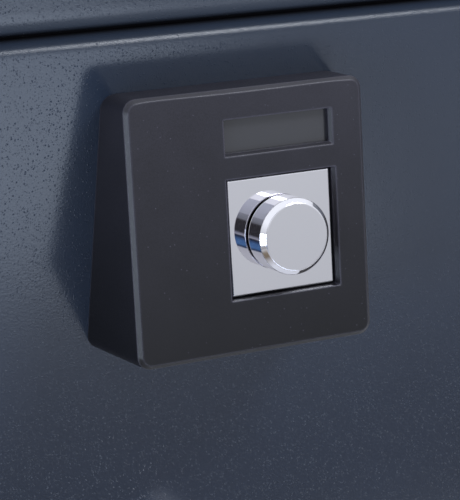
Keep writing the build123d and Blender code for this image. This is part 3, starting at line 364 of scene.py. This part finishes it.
def turned_chrome(name, colour, roughness, centre, axis):
    """Chrome whose face keeps the faint rings of its turning round the knob's axis."""
    finish = Finish(name)
    offset = finish.node("ShaderNodeMapping")
    offset.inputs["Location"].default_value = tuple(-value for value in centre)
    finish.link(finish.place, offset.inputs["Vector"])
    along = finish.node("ShaderNodeVectorMath", operation="CROSS_PRODUCT")
    along.inputs[1].default_value = tuple(axis)
    finish.link(offset.outputs["Vector"], along.inputs[0])
    radius = finish.node("ShaderNodeVectorMath", operation="LENGTH")
    finish.link(along.outputs["Vector"], radius.inputs[0])
    rings = finish.node("ShaderNodeTexNoise", noise_dimensions="1D")
    rings.inputs["Scale"].default_value = RINGS_PER_METRE
    finish.link(radius.outputs["Value"], rings.inputs["W"])
    finish.rough(finish.span(rings.outputs["Fac"], 0.3, 0.7, roughness * 0.8, roughness * 1.3))
    finish.relief(rings.outputs["Fac"], SMEAR_DEPTH, edge=KNOB_EDGE)
    finish.colour(finish.blend(finish.noise(0.02, 2.0), darker(colour, 0.98), colour))
    finish.set(Metallic=1.0)
    return finish.material


def brushed_metal(name, colour, roughness, lay):
    """Metal with a fine lay: scratches drawn out along the axis whose scale is smallest."""
    finish = Finish(name)
    scratch = finish.noise(0.001, 3.0, 0.7, finish.stretched(lay))
    cloud = finish.noise(0.03, 2.0)
    finish.colour(finish.blend(finish.add(scratch, cloud, 0.5), darker(colour, 0.82), colour))
    finish.rough(finish.span(scratch, 0.25, 0.75, roughness - 0.08, roughness + 0.1))
    finish.relief(scratch, SCRATCH_DEPTH)
    finish.set(Metallic=1.0)
    return finish.material


def zinc_plate(name, colour):
    """Bright zinc with a mottled passivation."""
    finish = Finish(name)
    mottle = finish.noise(0.004, 3.0, 0.6)
    finish.colour(finish.blend(mottle, darker(colour, 0.8), colour))
    finish.rough(finish.span(mottle, 0.3, 0.7, 0.28, 0.42))
    finish.set(Metallic=1.0)
    return finish.material


def cast_surface(name, colour, grain, depth, metallic):
    """Rough casting: coarse and fine lumps with open pores."""
    finish = Finish(name)
    lumps = finish.noise(grain, 5.0, 0.65)
    pores = finish.span(finish.cells(grain * 0.8), 0.0, 0.25)
    finish.colour(finish.blend(finish.add(lumps, pores, 0.5), darker(colour, 0.6), colour))
    finish.relief(finish.add(lumps, pores, 0.6), depth)
    finish.rough(finish.span(lumps, 0.3, 0.7, 0.6, 0.9))
    finish.set(Metallic=metallic)
    return finish.material


def soft_rubber(name, colour):
    """Matt rubber with a light bloom."""
    finish = Finish(name)
    bloom = finish.noise(0.008, 4.0, 0.6)
    finish.colour(finish.blend(bloom, colour, darker(colour, 1.7)))
    finish.rough(finish.span(bloom, 0.3, 0.7, 0.62, 0.85))
    finish.relief(finish.noise(0.0006, 1.0), 0.00002)
    return finish.material


def smoked_window(name, colour):
    """Dark window: a smoked pane whose skin mirrors softly."""
    finish = Finish(name)
    haze = finish.noise(0.03, 2.0)
    finish.colour(finish.blend(haze, darker(colour, 0.94), darker(colour, 1.06)))
    finish.rough(finish.span(haze, 0.3, 0.7, 0.16, 0.22))
    finish.set(IOR=1.5, Coat_Weight=0.4, Coat_Roughness=0.05)
    return finish.material


def circuit_board(name, colour):
    """Solder mask with a grid of lighter tracks."""
    finish = Finish(name)
    tracks = finish.node("ShaderNodeTexBrick")
    tracks.inputs["Scale"].default_value = 120.0
    tracks.inputs["Mortar Size"].default_value = 0.06
    tracks.inputs["Color1"].default_value = (*colour, 1.0)
    tracks.inputs["Color2"].default_value = (*darker(colour, 0.8), 1.0)
    tracks.inputs["Mortar"].default_value = (*darker(colour, 2.2), 1.0)
    finish.link(finish.place, tracks.inputs["Vector"])
    finish.colour(tracks.outputs["Color"])
    finish.rough(finish.span(finish.noise(0.01, 2.0), 0.3, 0.7, 0.3, 0.45))
    return finish.material


def cell_jacket(name, colour, band):
    """Printed jacket of a cell: a plain body with a darker end."""
    finish = Finish(name)
    step = finish.span(finish.noise(0.012, 1.0), 0.45, 0.55)
    finish.colour(finish.blend(step, colour, band))
    finish.rough(finish.span(finish.noise(0.002, 2.0), 0.3, 0.7, 0.3, 0.4))
    return finish.material


# Surfaces

def grid_mesh(name, points, wrap_rows, wrap_columns):
    """A mesh from an array of rows of points; a wrapped direction joins its last line to its first."""
    rows, columns = points.shape[:2]
    index = np.arange(rows * columns).reshape(rows, columns)
    if wrap_rows:
        index = np.vstack([index, index[:1]])
    if wrap_columns:
        index = np.hstack([index, index[:, :1]])
    quads = np.stack([index[:-1, :-1], index[1:, :-1], index[1:, 1:], index[:-1, 1:]], axis=-1)
    mesh = bpy.data.meshes.new(name)
    mesh.from_pydata(points.reshape(-1, 3).tolist(), [], quads.reshape(-1, 4).tolist())
    mesh.polygons.foreach_set("use_smooth", np.ones(len(mesh.polygons), dtype=bool))
    mesh.update()
    return mesh


def place_piece(name, mesh, material, body, *replaced):
    """Links a finished surface, gives it its finish and lets it ride on its body."""
    piece = bpy.data.objects.new(name, mesh)
    bpy.context.scene.collection.objects.link(piece)
    piece.data.materials.append(material)
    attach(piece, body)
    if replaced:
        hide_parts(*replaced)
    return piece


def rounded_rectangle(half_width, half_height, radius, per_corner):
    """Points and outward directions round a rectangle: each corner is a quarter circle about its centre."""
    turn = np.linspace(0.0, math.pi / 2, per_corner)
    start = np.repeat(np.arange(4) * math.pi / 2, per_corner)
    angle = start + np.tile(turn, 4)
    sign_x = np.repeat([1.0, -1.0, -1.0, 1.0], per_corner)
    sign_z = np.repeat([1.0, 1.0, -1.0, -1.0], per_corner)
    out = np.stack([np.cos(angle), np.sin(angle)], axis=1)
    centre = np.stack([sign_x * (half_width - radius), sign_z * (half_height - radius)], axis=1)
    return centre + radius * out, out


def seal_surface(low, high, corner, depth, width):
    """Hollow-looking door seal: a two-lipped profile carried round the opening.

    Each lip is half a sine wave across the strip's width; the back is flat, and the profile closes on it.
    """
    across = np.linspace(0.0, 1.0, 21)
    lips = depth * (0.55 + 0.45 * np.sin(2 * math.pi * across) ** 2)
    lips[[0, -1]] = 0.0
    back = np.linspace(1.0, 0.0, 5)[1:-1]
    along = np.concatenate([across, back])
    rise = np.concatenate([lips, np.zeros(len(back))])
    half_width = (high.x - low.x) / 2
    half_height = (high.z - low.z) / 2
    path, out = rounded_rectangle(half_width, half_height, corner, 9)
    inset = (width * along)[None, :, None] * out[:, None, :]
    flat = path[:, None, :] - inset
    points = np.empty((len(path), len(along), 3))
    points[..., 0] = flat[..., 0] + (low.x + high.x) / 2
    points[..., 1] = high.y - rise[None, :]
    points[..., 2] = flat[..., 1] + (low.z + high.z) / 2
    return points


def weld_surface(start, end, side, out, size, ripple):
    """A fillet weld: a quarter-round bead whose radius ripples like overlapped discs along its run.

    The bead's radius is size times one plus a small rectified sine of the way along, and it shrinks to
    nothing at both ends.
    """
    start, end = np.array(start), np.array(end)
    length = np.linalg.norm(end - start)
    ripples = max(4, int(length / ripple))
    way = np.linspace(0.0, 1.0, ripples * 6 + 1)
    swell = size * (0.86 + 0.14 * np.abs(np.sin(math.pi * ripples * way)))
    swell *= np.sqrt(np.clip(1.0 - (2 * way - 1.0) ** 24, 0.0, 1.0))
    turn = np.linspace(0.0, math.pi / 2, 9)
    arc = np.cos(turn)[:, None] * np.array(side) + np.sin(turn)[:, None] * np.array(out)
    section = np.vstack([arc, np.zeros((1, 3))])
    run = start + way[:, None] * (end - start)
    return run[:, None, :] + swell[:, None, None] * section[None, :, :]


# Settings

class PaintSettings(bpy.types.PropertyGroup):
    """Paint of the door, frame and shell."""

    door: bpy.props.FloatVectorProperty(
        name="Door", description="Base colour of the leaf", subtype="COLOR", size=3, min=0, max=1,
        default=(0.017, 0.026, 0.046),
    )
    shell: bpy.props.FloatVectorProperty(
        name="Shell", description="Base colour of the body", subtype="COLOR", size=3, min=0, max=1,
        default=(0.018, 0.027, 0.047),
    )
    pebble: bpy.props.FloatProperty(
        name="Pebble", description="Width of the paint's pebbles", default=0.0013, min=0.0003, max=0.01,
        unit="LENGTH",
    )
    pebble_depth: bpy.props.FloatProperty(
        name="Pebble depth", description="Height of the paint's pebbles", default=0.00004, min=0, max=0.001,
        unit="LENGTH",
    )
    edge_round: bpy.props.FloatProperty(
        name="Edge", description="Width over which the thick paint rounds an edge", default=0.0042, min=0,
        max=0.02, unit="LENGTH",
    )
    grit_spacing: bpy.props.FloatProperty(
        name="Grit spacing", description="Distance between grains in the paint", default=0.0011, min=0.0005,
        max=0.02, unit="LENGTH",
    )
    grit_height: bpy.props.FloatProperty(
        name="Grit height", description="Height of a grain against a pebble", default=1.8, min=0, max=6,
    )
    coat_roughness: bpy.props.FloatProperty(
        name="Coat roughness", description="Blur of the skin's reflection", default=0.165, min=0, max=1,
    )
    coat_ior: bpy.props.FloatProperty(
        name="Coat index", description="Strength of the skin's reflection", default=1.5, min=1, max=3,
    )


class EntrySettings(bpy.types.PropertyGroup):
    """Finishes of the entry unit."""

    plastic: bpy.props.FloatVectorProperty(
        name="Housing", description="Colour of the moulded housing", subtype="COLOR", size=3, min=0, max=1,
        default=(0.023, 0.022, 0.030),
    )
    grain: bpy.props.FloatProperty(
        name="Grain", description="Width of the housing's grain", default=0.0006, min=0.0001, max=0.01,
        unit="LENGTH",
    )
    # This width also sets the housing's painted edge highlight
    edge: bpy.props.FloatProperty(
        name="Edge", description="Width over which the housing's edges round", default=0.0009, min=0,
        max=0.01, unit="LENGTH",
    )
    chrome: bpy.props.FloatVectorProperty(
        name="Chrome", description="Colour of the plate and knob", subtype="COLOR", size=3, min=0, max=1,
        default=(0.775, 0.76, 0.80),
    )
    window: bpy.props.FloatVectorProperty(
        name="Window", description="Colour of the display window", subtype="COLOR", size=3, min=0, max=1,
        default=(0.034, 0.034, 0.040),
    )


class StageSettings(bpy.types.PropertyGroup):
    """Floor, lights and camera."""

    floor: bpy.props.FloatVectorProperty(
        name="Floor", description="Colour of the floor", subtype="COLOR", size=3, min=0, max=1,
        default=(0.88, 0.88, 0.90),
    )
    near_floor: bpy.props.FloatVectorProperty(
        name="Near floor", description="Span of Y over which the mirrored floor darkens to the door", size=2,
        default=(-1.3, -0.76), unit="LENGTH",
    )
    near_shade: bpy.props.FloatVectorProperty(
        name="Near shade", description="Colour of the mirrored floor by the door", subtype="COLOR", size=3,
        min=0, max=1, default=(0.17, 0.12, 0.065),
    )
    sky: bpy.props.FloatProperty(
        name="Sky", description="Strength of the even light from all round", default=0.6, min=0, max=5,
    )
    top_power: bpy.props.FloatProperty(
        name="Top light", description="Power of the overhead softbox", default=17.0, min=0, max=500,
        unit="POWER",
    )
    front_power: bpy.props.FloatProperty(
        name="Front light", description="Power of the small softbox over the camera", default=0.45, min=0,
        max=500, unit="POWER",
    )
    left_power: bpy.props.FloatProperty(
        name="Left light", description="Power of the softbox on the left", default=7.0, min=0, max=500,
        unit="POWER",
    )
    low_power: bpy.props.FloatProperty(
        name="Low panel", description="Power of the light panel that lies in front", default=6.6, min=0,
        max=500, unit="POWER",
    )
    tint: bpy.props.FloatVectorProperty(
        name="Light tint", description="Colour of the daylight from the sky and softboxes", subtype="COLOR",
        size=3, min=0, max=1, default=(0.90, 0.94, 1.0),
    )
    haze: bpy.props.FloatVectorProperty(
        name="Cool tint", description="Colour of the low and left light panels", subtype="COLOR",
        size=3, min=0, max=1, default=(0.70, 0.82, 1.0),
    )
    camera_focal: bpy.props.FloatProperty(
        name="Focal length in pixels", description="Focal length in pixels of the image", default=2159.07,
        min=100, max=10000,
    )
    camera_yaw: bpy.props.FloatProperty(
        name="Yaw", description="Turn of the view from +Y towards +X", default=math.radians(28.21),
        subtype="ANGLE",
    )
    camera_pitch: bpy.props.FloatProperty(
        name="Pitch", description="How far the view looks down", default=math.radians(25.42), subtype="ANGLE",
    )
    camera_roll: bpy.props.FloatProperty(
        name="Roll", description="Turn of the camera about its view", default=math.radians(4.548),
        subtype="ANGLE",
    )
    camera_left: bpy.props.FloatProperty(
        name="Camera left", description="Camera's distance left of the door's middle", default=0.44807,
        unit="LENGTH",
    )
    camera_away: bpy.props.FloatProperty(
        name="Camera away", description="Camera's distance in front of the leaf", default=0.85709,
        unit="LENGTH",
    )
    camera_above: bpy.props.FloatProperty(
        name="Camera above", description="Camera's height over the leaf's top edge", default=0.34511,
        unit="LENGTH",
    )


class SealSettings(bpy.types.PropertyGroup):
    """Door seal and welds."""

    corner: bpy.props.FloatProperty(
        name="Seal corner", description="Corner radius of the seal", default=0.012, min=0.001, max=0.05,
        unit="LENGTH",
    )
    bead: bpy.props.FloatProperty(
        name="Weld bead", description="Size of the welds' legs", default=0.0022, min=0.0005, max=0.01,
        unit="LENGTH",
    )


# Operators

class SAFE_OT_stage(bpy.types.Operator):
    """Pale floor, sky, softboxes and the camera at the photographed angle"""

    bl_idname = "safe.stage"
    bl_label = "Stage"

    def execute(self, context):
        settings = context.scene.safe_stage
        self.floor(context, settings)
        self.sky(context, settings)
        low = (0.2, -1.6, 0.02)
        lamps = (
            ("softbox_top", (0.64, -0.88, 1.8), LAMP_AIM, 0.62, 0.62, settings.top_power, settings.tint),
            ("softbox_front", (0.57, -1.53, 1.52), LAMP_AIM, 0.22, 0.22, settings.front_power, settings.tint),
            ("softbox_left", (-1.25, -0.9, 0.5), LAMP_AIM, 0.45, 0.6, settings.left_power, settings.haze),
            ("panel_low", low, (low[0], low[1], 1.0), 0.9, 1.0, settings.low_power, settings.haze),
        )
        for lamp in lamps:
            self.softbox(context, *lamp)
        self.card(
            context, "card_dark", (-0.75, -1.55, 1.4), 0.6, 1.62,
            (0.0, (0.004, 0.004, 0.005)), (0.04, (0.02, 0.02, 0.025)), (0.07, (0.42, 0.41, 0.45)),
            (0.11, (0.02, 0.018, 0.022)), (0.4, (0.03, 0.027, 0.028)), (0.47, (0.26, 0.265, 0.28)),
            (0.7, (0.42, 0.43, 0.46)), (1.0, (0.55, 0.58, 0.64)),
        )
        self.card(
            context, "card_blue", (-0.55, -1.6, 0.435), 1.0, 0.33,
            (0.0, (0.12, 0.18, 0.28)), (0.12, (0.012, 0.022, 0.045)), (0.25, (0.065, 0.16, 0.33)),
            (0.6, (0.06, 0.145, 0.30)), (0.85, (0.02, 0.04, 0.09)), (1.0, (0.008, 0.01, 0.02)),
        )
        self.card(
            context, "card_grey", (-0.26, -1.38, 1.75), 0.75, 0.9,
            (0.0, (0.50, 0.51, 0.54)), (1.0, (0.75, 0.78, 0.84)),
        )
        self.camera(context, settings)
        return {"FINISHED"}

    def card(self, context, name, place, width, height, *stops):
        """An upright board beside the camera that only reflections show, for contrast in the chrome.

        Its colour follows its height through (place, colour) stops."""
        away = Vector((place[0], place[1], 0.0)).normalized()
        across = np.array([-away.y, away.x, 0.0]) * width / 2
        rise = np.array([0.0, 0.0, height / 2])
        corners = np.array(place) + np.array([-across - rise, across - rise, across + rise, rise - across])
        mesh = bpy.data.meshes.new(name)
        mesh.from_pydata(corners.tolist(), [], [(0, 1, 2, 3)])
        board = bpy.data.objects.new(name, mesh)
        context.scene.collection.objects.link(board)
        finish = Finish(name)
        level = finish.span(finish.along("Z"), place[2] - height / 2, place[2] + height / 2)
        streaked = finish.add(level, finish.noise(0.1, 2.0, place=finish.stretched((0.2, 0.2, 1.0))), 0.08)
        finish.colour(finish.ramp(streaked, *stops))
        finish.set(Roughness=0.9)
        board.data.materials.append(finish.material)
        for ray in ("camera", "diffuse", "transmission", "shadow"):
            setattr(board, f"visible_{ray}", False)

    def floor(self, context, settings):
        """A disc with its rim far outside every view: radius 6 m, in rings about the origin."""
        turn = np.linspace(0.0, 2 * math.pi, 64, endpoint=False)
        reach = np.array([0.0, 1.0, 3.0, 6.0])
        points = np.zeros((len(reach), len(turn), 3))
        points[..., 0] = reach[:, None] * np.cos(turn)
        points[..., 1] = reach[:, None] * np.sin(turn)
        floor = bpy.data.objects.new("floor", grid_mesh("floor", points, False, True))
        context.scene.collection.objects.link(floor)
        finish = Finish("floor_pale")
        colour = tuple(settings.floor)
        pale = finish.blend(finish.noise(0.4, 2.0), darker(colour, 0.985), colour)
        # Painted shade: near the door the floor takes the near shade colour, which only reflections show
        near = finish.span(finish.along("Y"), *settings.near_floor)
        near = finish.multiply(near, finish.span(finish.along("Y"), -0.66, -0.5, 1.0, 0.0))
        mirrored = finish.multiply(near, finish.node("ShaderNodeLightPath").outputs["Is Glossy Ray"])
        finish.colour(finish.blend(mirrored, pale, tuple(settings.near_shade)))
        finish.set(Roughness=0.8)
        floor.data.materials.append(finish.material)

    def sky(self, context, settings):
        """Even soft light, which metal and glass see fade a little from above down to the horizon.

        The camera sees it white."""
        world = bpy.data.worlds.new("studio")
        context.scene.world = world
        world.use_nodes = True
        tree = world.node_tree
        tree.nodes.clear()
        path = tree.nodes.new("ShaderNodeLightPath")
        height = tree.nodes.new("ShaderNodeSeparateXYZ")
        tree.links.new(tree.nodes.new("ShaderNodeTexCoord").outputs["Generated"], height.inputs["Vector"])
        fade = tree.nodes.new("ShaderNodeMapRange")
        for key, value in (("From Min", 0.0), ("From Max", 0.6), ("To Min", 0.62), ("To Max", 1.25)):
            fade.inputs[key].default_value = value
        tree.links.new(height.outputs["Z"], fade.inputs["Value"])
        mirrored = self.choose(tree, path.outputs["Is Glossy Ray"], settings.sky, fade.outputs["Result"])
        through = self.choose(tree, path.outputs["Is Transmission Ray"], mirrored, 1.0)
        seen = self.choose(tree, path.outputs["Is Camera Ray"], through, 1.0)
        tint = tree.nodes.new("ShaderNodeMix")
        tint.data_type = "RGBA"
        tree.links.new(path.outputs["Is Camera Ray"], tint.inputs["Factor"])
        tint.inputs[6].default_value = (*settings.tint, 1.0)
        tint.inputs[7].default_value = (1.0, 1.0, 1.0, 1.0)
        background = tree.nodes.new("ShaderNodeBackground")
        tree.links.new(tint.outputs[2], background.inputs["Color"])
        tree.links.new(seen, background.inputs["Strength"])
        output = tree.nodes.new("ShaderNodeOutputWorld")
        tree.links.new(background.outputs["Background"], output.inputs["Surface"])
        context.scene.view_settings.view_transform = "Standard"

    def choose(self, tree, switch, off, on):
        """The value off, or on where the switch is 1; each is a number or a socket."""
        node = tree.nodes.new("ShaderNodeMix")
        tree.links.new(switch, node.inputs["Factor"])
        for socket, value in ((node.inputs["A"], off), (node.inputs["B"], on)):
            if isinstance(value, float):
                socket.default_value = value
            else:
                tree.links.new(value, socket)
        return node.outputs["Result"]

    def softbox(self, context, name, place, aim, width, height, power, colour):
        light = bpy.data.lights.new(name, "AREA")
        light.shape = "RECTANGLE"
        light.size = width
        light.size_y = height
        light.energy = power
        light.color = colour
        lamp = bpy.data.objects.new(name, light)
        lamp.location = place
        lamp.rotation_euler = (Vector(aim) - Vector(place)).to_track_quat("-Z", "Y").to_euler()
        lamp.visible_camera = False
        context.scene.collection.objects.link(lamp)

    def camera(self, context, settings):
        """Looks at the entry unit from the left and above, with the photograph's slight roll."""
        low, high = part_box("door_skin")
        yaw, pitch, roll = settings.camera_yaw, settings.camera_pitch, settings.camera_roll
        ahead = Vector((
            math.sin(yaw) * math.cos(pitch), math.cos(yaw) * math.cos(pitch), -math.sin(pitch),
        ))
        level = Vector((math.cos(yaw), -math.sin(yaw), 0.0))
        upright = level.cross(ahead)
        right = level * math.cos(roll) + upright * math.sin(roll)
        up = upright * math.cos(roll) - level * math.sin(roll)
        turned = Matrix((right, up, -ahead)).transposed()
        lens = bpy.data.cameras.new("camera")
        lens.sensor_width = LENS_SENSOR
        lens.sensor_fit = "AUTO"
        lens.lens = LENS_SENSOR * settings.camera_focal / IMAGE_LONG_SIDE
        camera = bpy.data.objects.new("camera", lens)
        place = Vector((
            -settings.camera_left, low.y - settings.camera_away, high.z + settings.camera_above,
        ))
        camera.matrix_world = Matrix.Translation(place) @ turned.to_4x4()
        context.scene.collection.objects.link(camera)
        context.scene.camera = camera


class SAFE_OT_paint(bpy.types.Operator):
    """Pebbled paint on the leaf, frame, shell and hinges"""

    bl_idname = "safe.paint"
    bl_label = "Paint"

    def execute(self, context):
        settings = context.scene.safe_paint
        door = pebbled_paint("door_paint", settings, tuple(settings.door), 1.0)
        shell = pebbled_paint("shell_paint", settings, tuple(settings.shell), 1.0)
        dress(pebbled_paint("leaf_paint", settings, tuple(settings.door), 1.0, leaf_painted_gap_shade), "door_skin")
        dress(shell, "outer_shell")
        dress(pebbled_paint("frame_paint", settings, tuple(settings.shell), 1.0, frame_painted_gap_shade_and_highlight), "front_frame")
        dress(door, "hinge_body_upper", "hinge_body_lower", "hinge_door_upper", "hinge_door_lower")
        return {"FINISHED"}


class SAFE_OT_interior(bpy.types.Operator):
    """Light grey liner and shelf, cast barrier and the door's inner cover"""

    bl_idname = "safe.interior"
    bl_label = "Interior"

    def execute(self, context):
        settings = context.scene.safe_paint
        dress(pebbled_paint("liner_paint", settings, (0.20, 0.21, 0.23), 0.25), "inner_liner", "shelf")
        cover = pebbled_paint("cover_paint", settings, (0.05, 0.055, 0.065), 0.5)
        dress(cover, "boltwork_cover", "boltwork_frame", "door_back_plate")
        barrier = cast_surface("barrier_cast", (0.42, 0.41, 0.39), 0.004, 0.0006, 0.0)
        dress(barrier, "barrier_fill", "plug_fill")
        return {"FINISHED"}


class SAFE_OT_boltwork(bpy.types.Operator):
    """Bolts, dogs, carriage, guides and the cam in their metals"""

    bl_idname = "safe.boltwork"
    bl_label = "Boltwork"

    def execute(self, context):
        bolt = brushed_metal("bolt_ground_steel", (0.60, 0.60, 0.62), 0.22, (0.05, 1.0, 1.0))
        plate = brushed_metal("cut_steel_plate", (0.46, 0.46, 0.48), 0.38, (1.0, 1.0, 0.06))
        dress(bolt, "locking_bolts", "handle_spindle", "hinge_pins", "shelf_studs", "anchor_sleeves")
        dress(plate, "bolt_carriage", "fixed_dogs", "bolt_guides", "guide_studs", "cover_posts")
        dress(plate, "door_armour", "drive_cam")
        screws = zinc_plate("screw_zinc", (0.62, 0.63, 0.64))
        dress(screws, "cover_screws", "bolt_screws", "handle_set_screw", "cam_screw", "lock_screws")
        dress(screws, "entry_base_screws", "housing_screws")
        bronze = brushed_metal("bush_bronze", (0.55, 0.38, 0.18), 0.32, (1.0, 1.0, 0.1))
        dress(bronze, "hinge_washers", "spindle_bush_front", "spindle_bush_rear")
        return {"FINISHED"}


class SAFE_OT_lock(bpy.types.Operator):
    """Die-cast lock case with its brass bolt, motor, board and cable"""

    bl_idname = "safe.lock"
    bl_label = "Lock"

    def execute(self, context):
        case = cast_surface("case_die_cast", (0.50, 0.50, 0.51), 0.0012, 0.00006, 0.9)
        dress(case, "lock_case", "lock_cover")
        brass = brushed_metal("lock_brass", (0.62, 0.45, 0.19), 0.28, (1.0, 1.0, 0.06))
        dress(brass, "lock_bolt", "knob_shaft")
        dress(brushed_metal("motor_can", (0.58, 0.58, 0.59), 0.3, (1.0, 1.0, 0.05)), "lock_motor")
        dress(circuit_board("board_mask", (0.02, 0.09, 0.04)), "lock_board", "main_board")
        dress(soft_rubber("cable_jacket", (0.018, 0.018, 0.019)), "lock_cable")
        return {"FINISHED"}


class SAFE_OT_handle(bpy.types.Operator):
    """Chromed lever and its collar"""

    bl_idname = "safe.handle"
    bl_label = "Handle"

    def execute(self, context):
        chrome = tuple(context.scene.safe_entry.chrome)
        dress(polished_chrome("handle_chrome", chrome, 0.09), "handle_lever", "handle_rosette")
        return {"FINISHED"}


class SAFE_OT_entry(bpy.types.Operator):
    """Moulded housing, window, plate and knob of the entry unit, and what they hide"""

    bl_idname = "safe.entry"
    bl_label = "Entry unit"

    def execute(self, context):
        settings = context.scene.safe_entry
        plastic = tuple(settings.plastic)
        low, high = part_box("entry_housing")
        housing = moulded_plastic(
            "housing_plastic", plastic, settings.grain, 0.00003, 0.36, (low.z, high.z), settings.edge,
        )
        dress(housing, "entry_housing")
        inner = moulded_plastic("inner_plastic", darker(plastic, 0.7), 0.0008, 0.00001, 0.55)
        dress(inner, "entry_base", "entry_chassis", "battery_holder")
        dress(inner, "encoder_body", "press_switch", "encoder_rotor")
        dress(smoked_window("window_smoked", tuple(settings.window)), "display_window")
        dress(moulded_plastic("display_dark", (0.02, 0.022, 0.02), 0.001, 0.000005, 0.25), "display_module")
        chrome = tuple(settings.chrome)
        dress(polished_chrome("plate_chrome", chrome, 0.03, PLATE_EDGE), "knob_plate")
        joint = next(j for j in frame["joints"] if j["name"] == "knob_turn")
        knob = turned_chrome("knob_chrome", chrome, 0.045, joint["pos_m"], joint["axis"])
        dress(knob, "knob_cap")
        dress(cell_jacket("cell_jacket", (0.30, 0.30, 0.32), (0.05, 0.05, 0.055)), "batteries")
        return {"FINISHED"}


class SAFE_OT_seal(bpy.types.Operator):
    """Two-lipped rubber seal round the opening"""

    bl_idname = "safe.seal"
    bl_label = "Door seal"

    def execute(self, context):
        low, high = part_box("door_seal")
        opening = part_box("inner_liner")
        width = (high.x - low.x - (opening[1].x - opening[0].x)) / 2
        points = seal_surface(low, high, context.scene.safe_seal.corner, high.y - low.y, width * SEAL_SHARE)
        mesh = grid_mesh("door_seal_lips", points, True, True)
        rubber = soft_rubber("seal_rubber", (0.016, 0.016, 0.017))
        place_piece("door_seal_lips", mesh, rubber, "body", "door_seal")
        return {"FINISHED"}


class SAFE_OT_welds(bpy.types.Operator):
    """Painted welds along the fixed hinge pads"""

    bl_idname = "safe.welds"
    bl_label = "Welds"

    def execute(self, context):
        bead = context.scene.safe_seal.bead
        paint = frame["nodes"]["hinge_body_upper"].material_slots[0].material
        for name in ("hinge_body_upper", "hinge_body_lower"):
            low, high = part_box(name)
            plane = high.y
            for label, z, side in (("above", high.z, (0, 0, 1)), ("below", low.z, (0, 0, -1))):
                start = (high.x - WELD_END, plane, z)
                end = (low.x + WELD_START, plane, z)
                points = weld_surface(start, end, side, (0, -1, 0), bead, WELD_RIPPLE)
                mesh = grid_mesh(f"{name}_weld_{label}", points, False, True)
                place_piece(f"{name}_weld_{label}", mesh, paint, "body")
        return {"FINISHED"}


class SAFE_PT_panel(bpy.types.Panel):
    """Lists the safe's pieces in the sidebar"""

    bl_idname = "SAFE_PT_panel"
    bl_label = "Safe"
    bl_space_type = "VIEW_3D"
    bl_region_type = "UI"
    bl_category = "Safe"

    def draw(self, context):
        for operator in OPERATORS:
            self.layout.operator(operator.bl_idname)


SETTINGS = {
    "safe_paint": PaintSettings,
    "safe_entry": EntrySettings,
    "safe_stage": StageSettings,
    "safe_seal": SealSettings,
}
OPERATORS = (
    SAFE_OT_stage, SAFE_OT_paint, SAFE_OT_interior, SAFE_OT_boltwork, SAFE_OT_lock, SAFE_OT_handle,
    SAFE_OT_entry, SAFE_OT_seal, SAFE_OT_welds,
)
CLASSES = (*SETTINGS.values(), *OPERATORS, SAFE_PT_panel)


def register():
    for cls in CLASSES:
        bpy.utils.register_class(cls)
    for name, group in SETTINGS.items():
        setattr(bpy.types.Scene, name, bpy.props.PointerProperty(type=group))


def unregister():
    for name in SETTINGS:
        delattr(bpy.types.Scene, name)
    for cls in reversed(CLASSES):
        bpy.utils.unregister_class(cls)


def main():
    register()
    for operator in OPERATORS:
        group, action = operator.bl_idname.split(".")
        getattr(getattr(bpy.ops, group), action)()


if __name__ == "__main__":
    main()
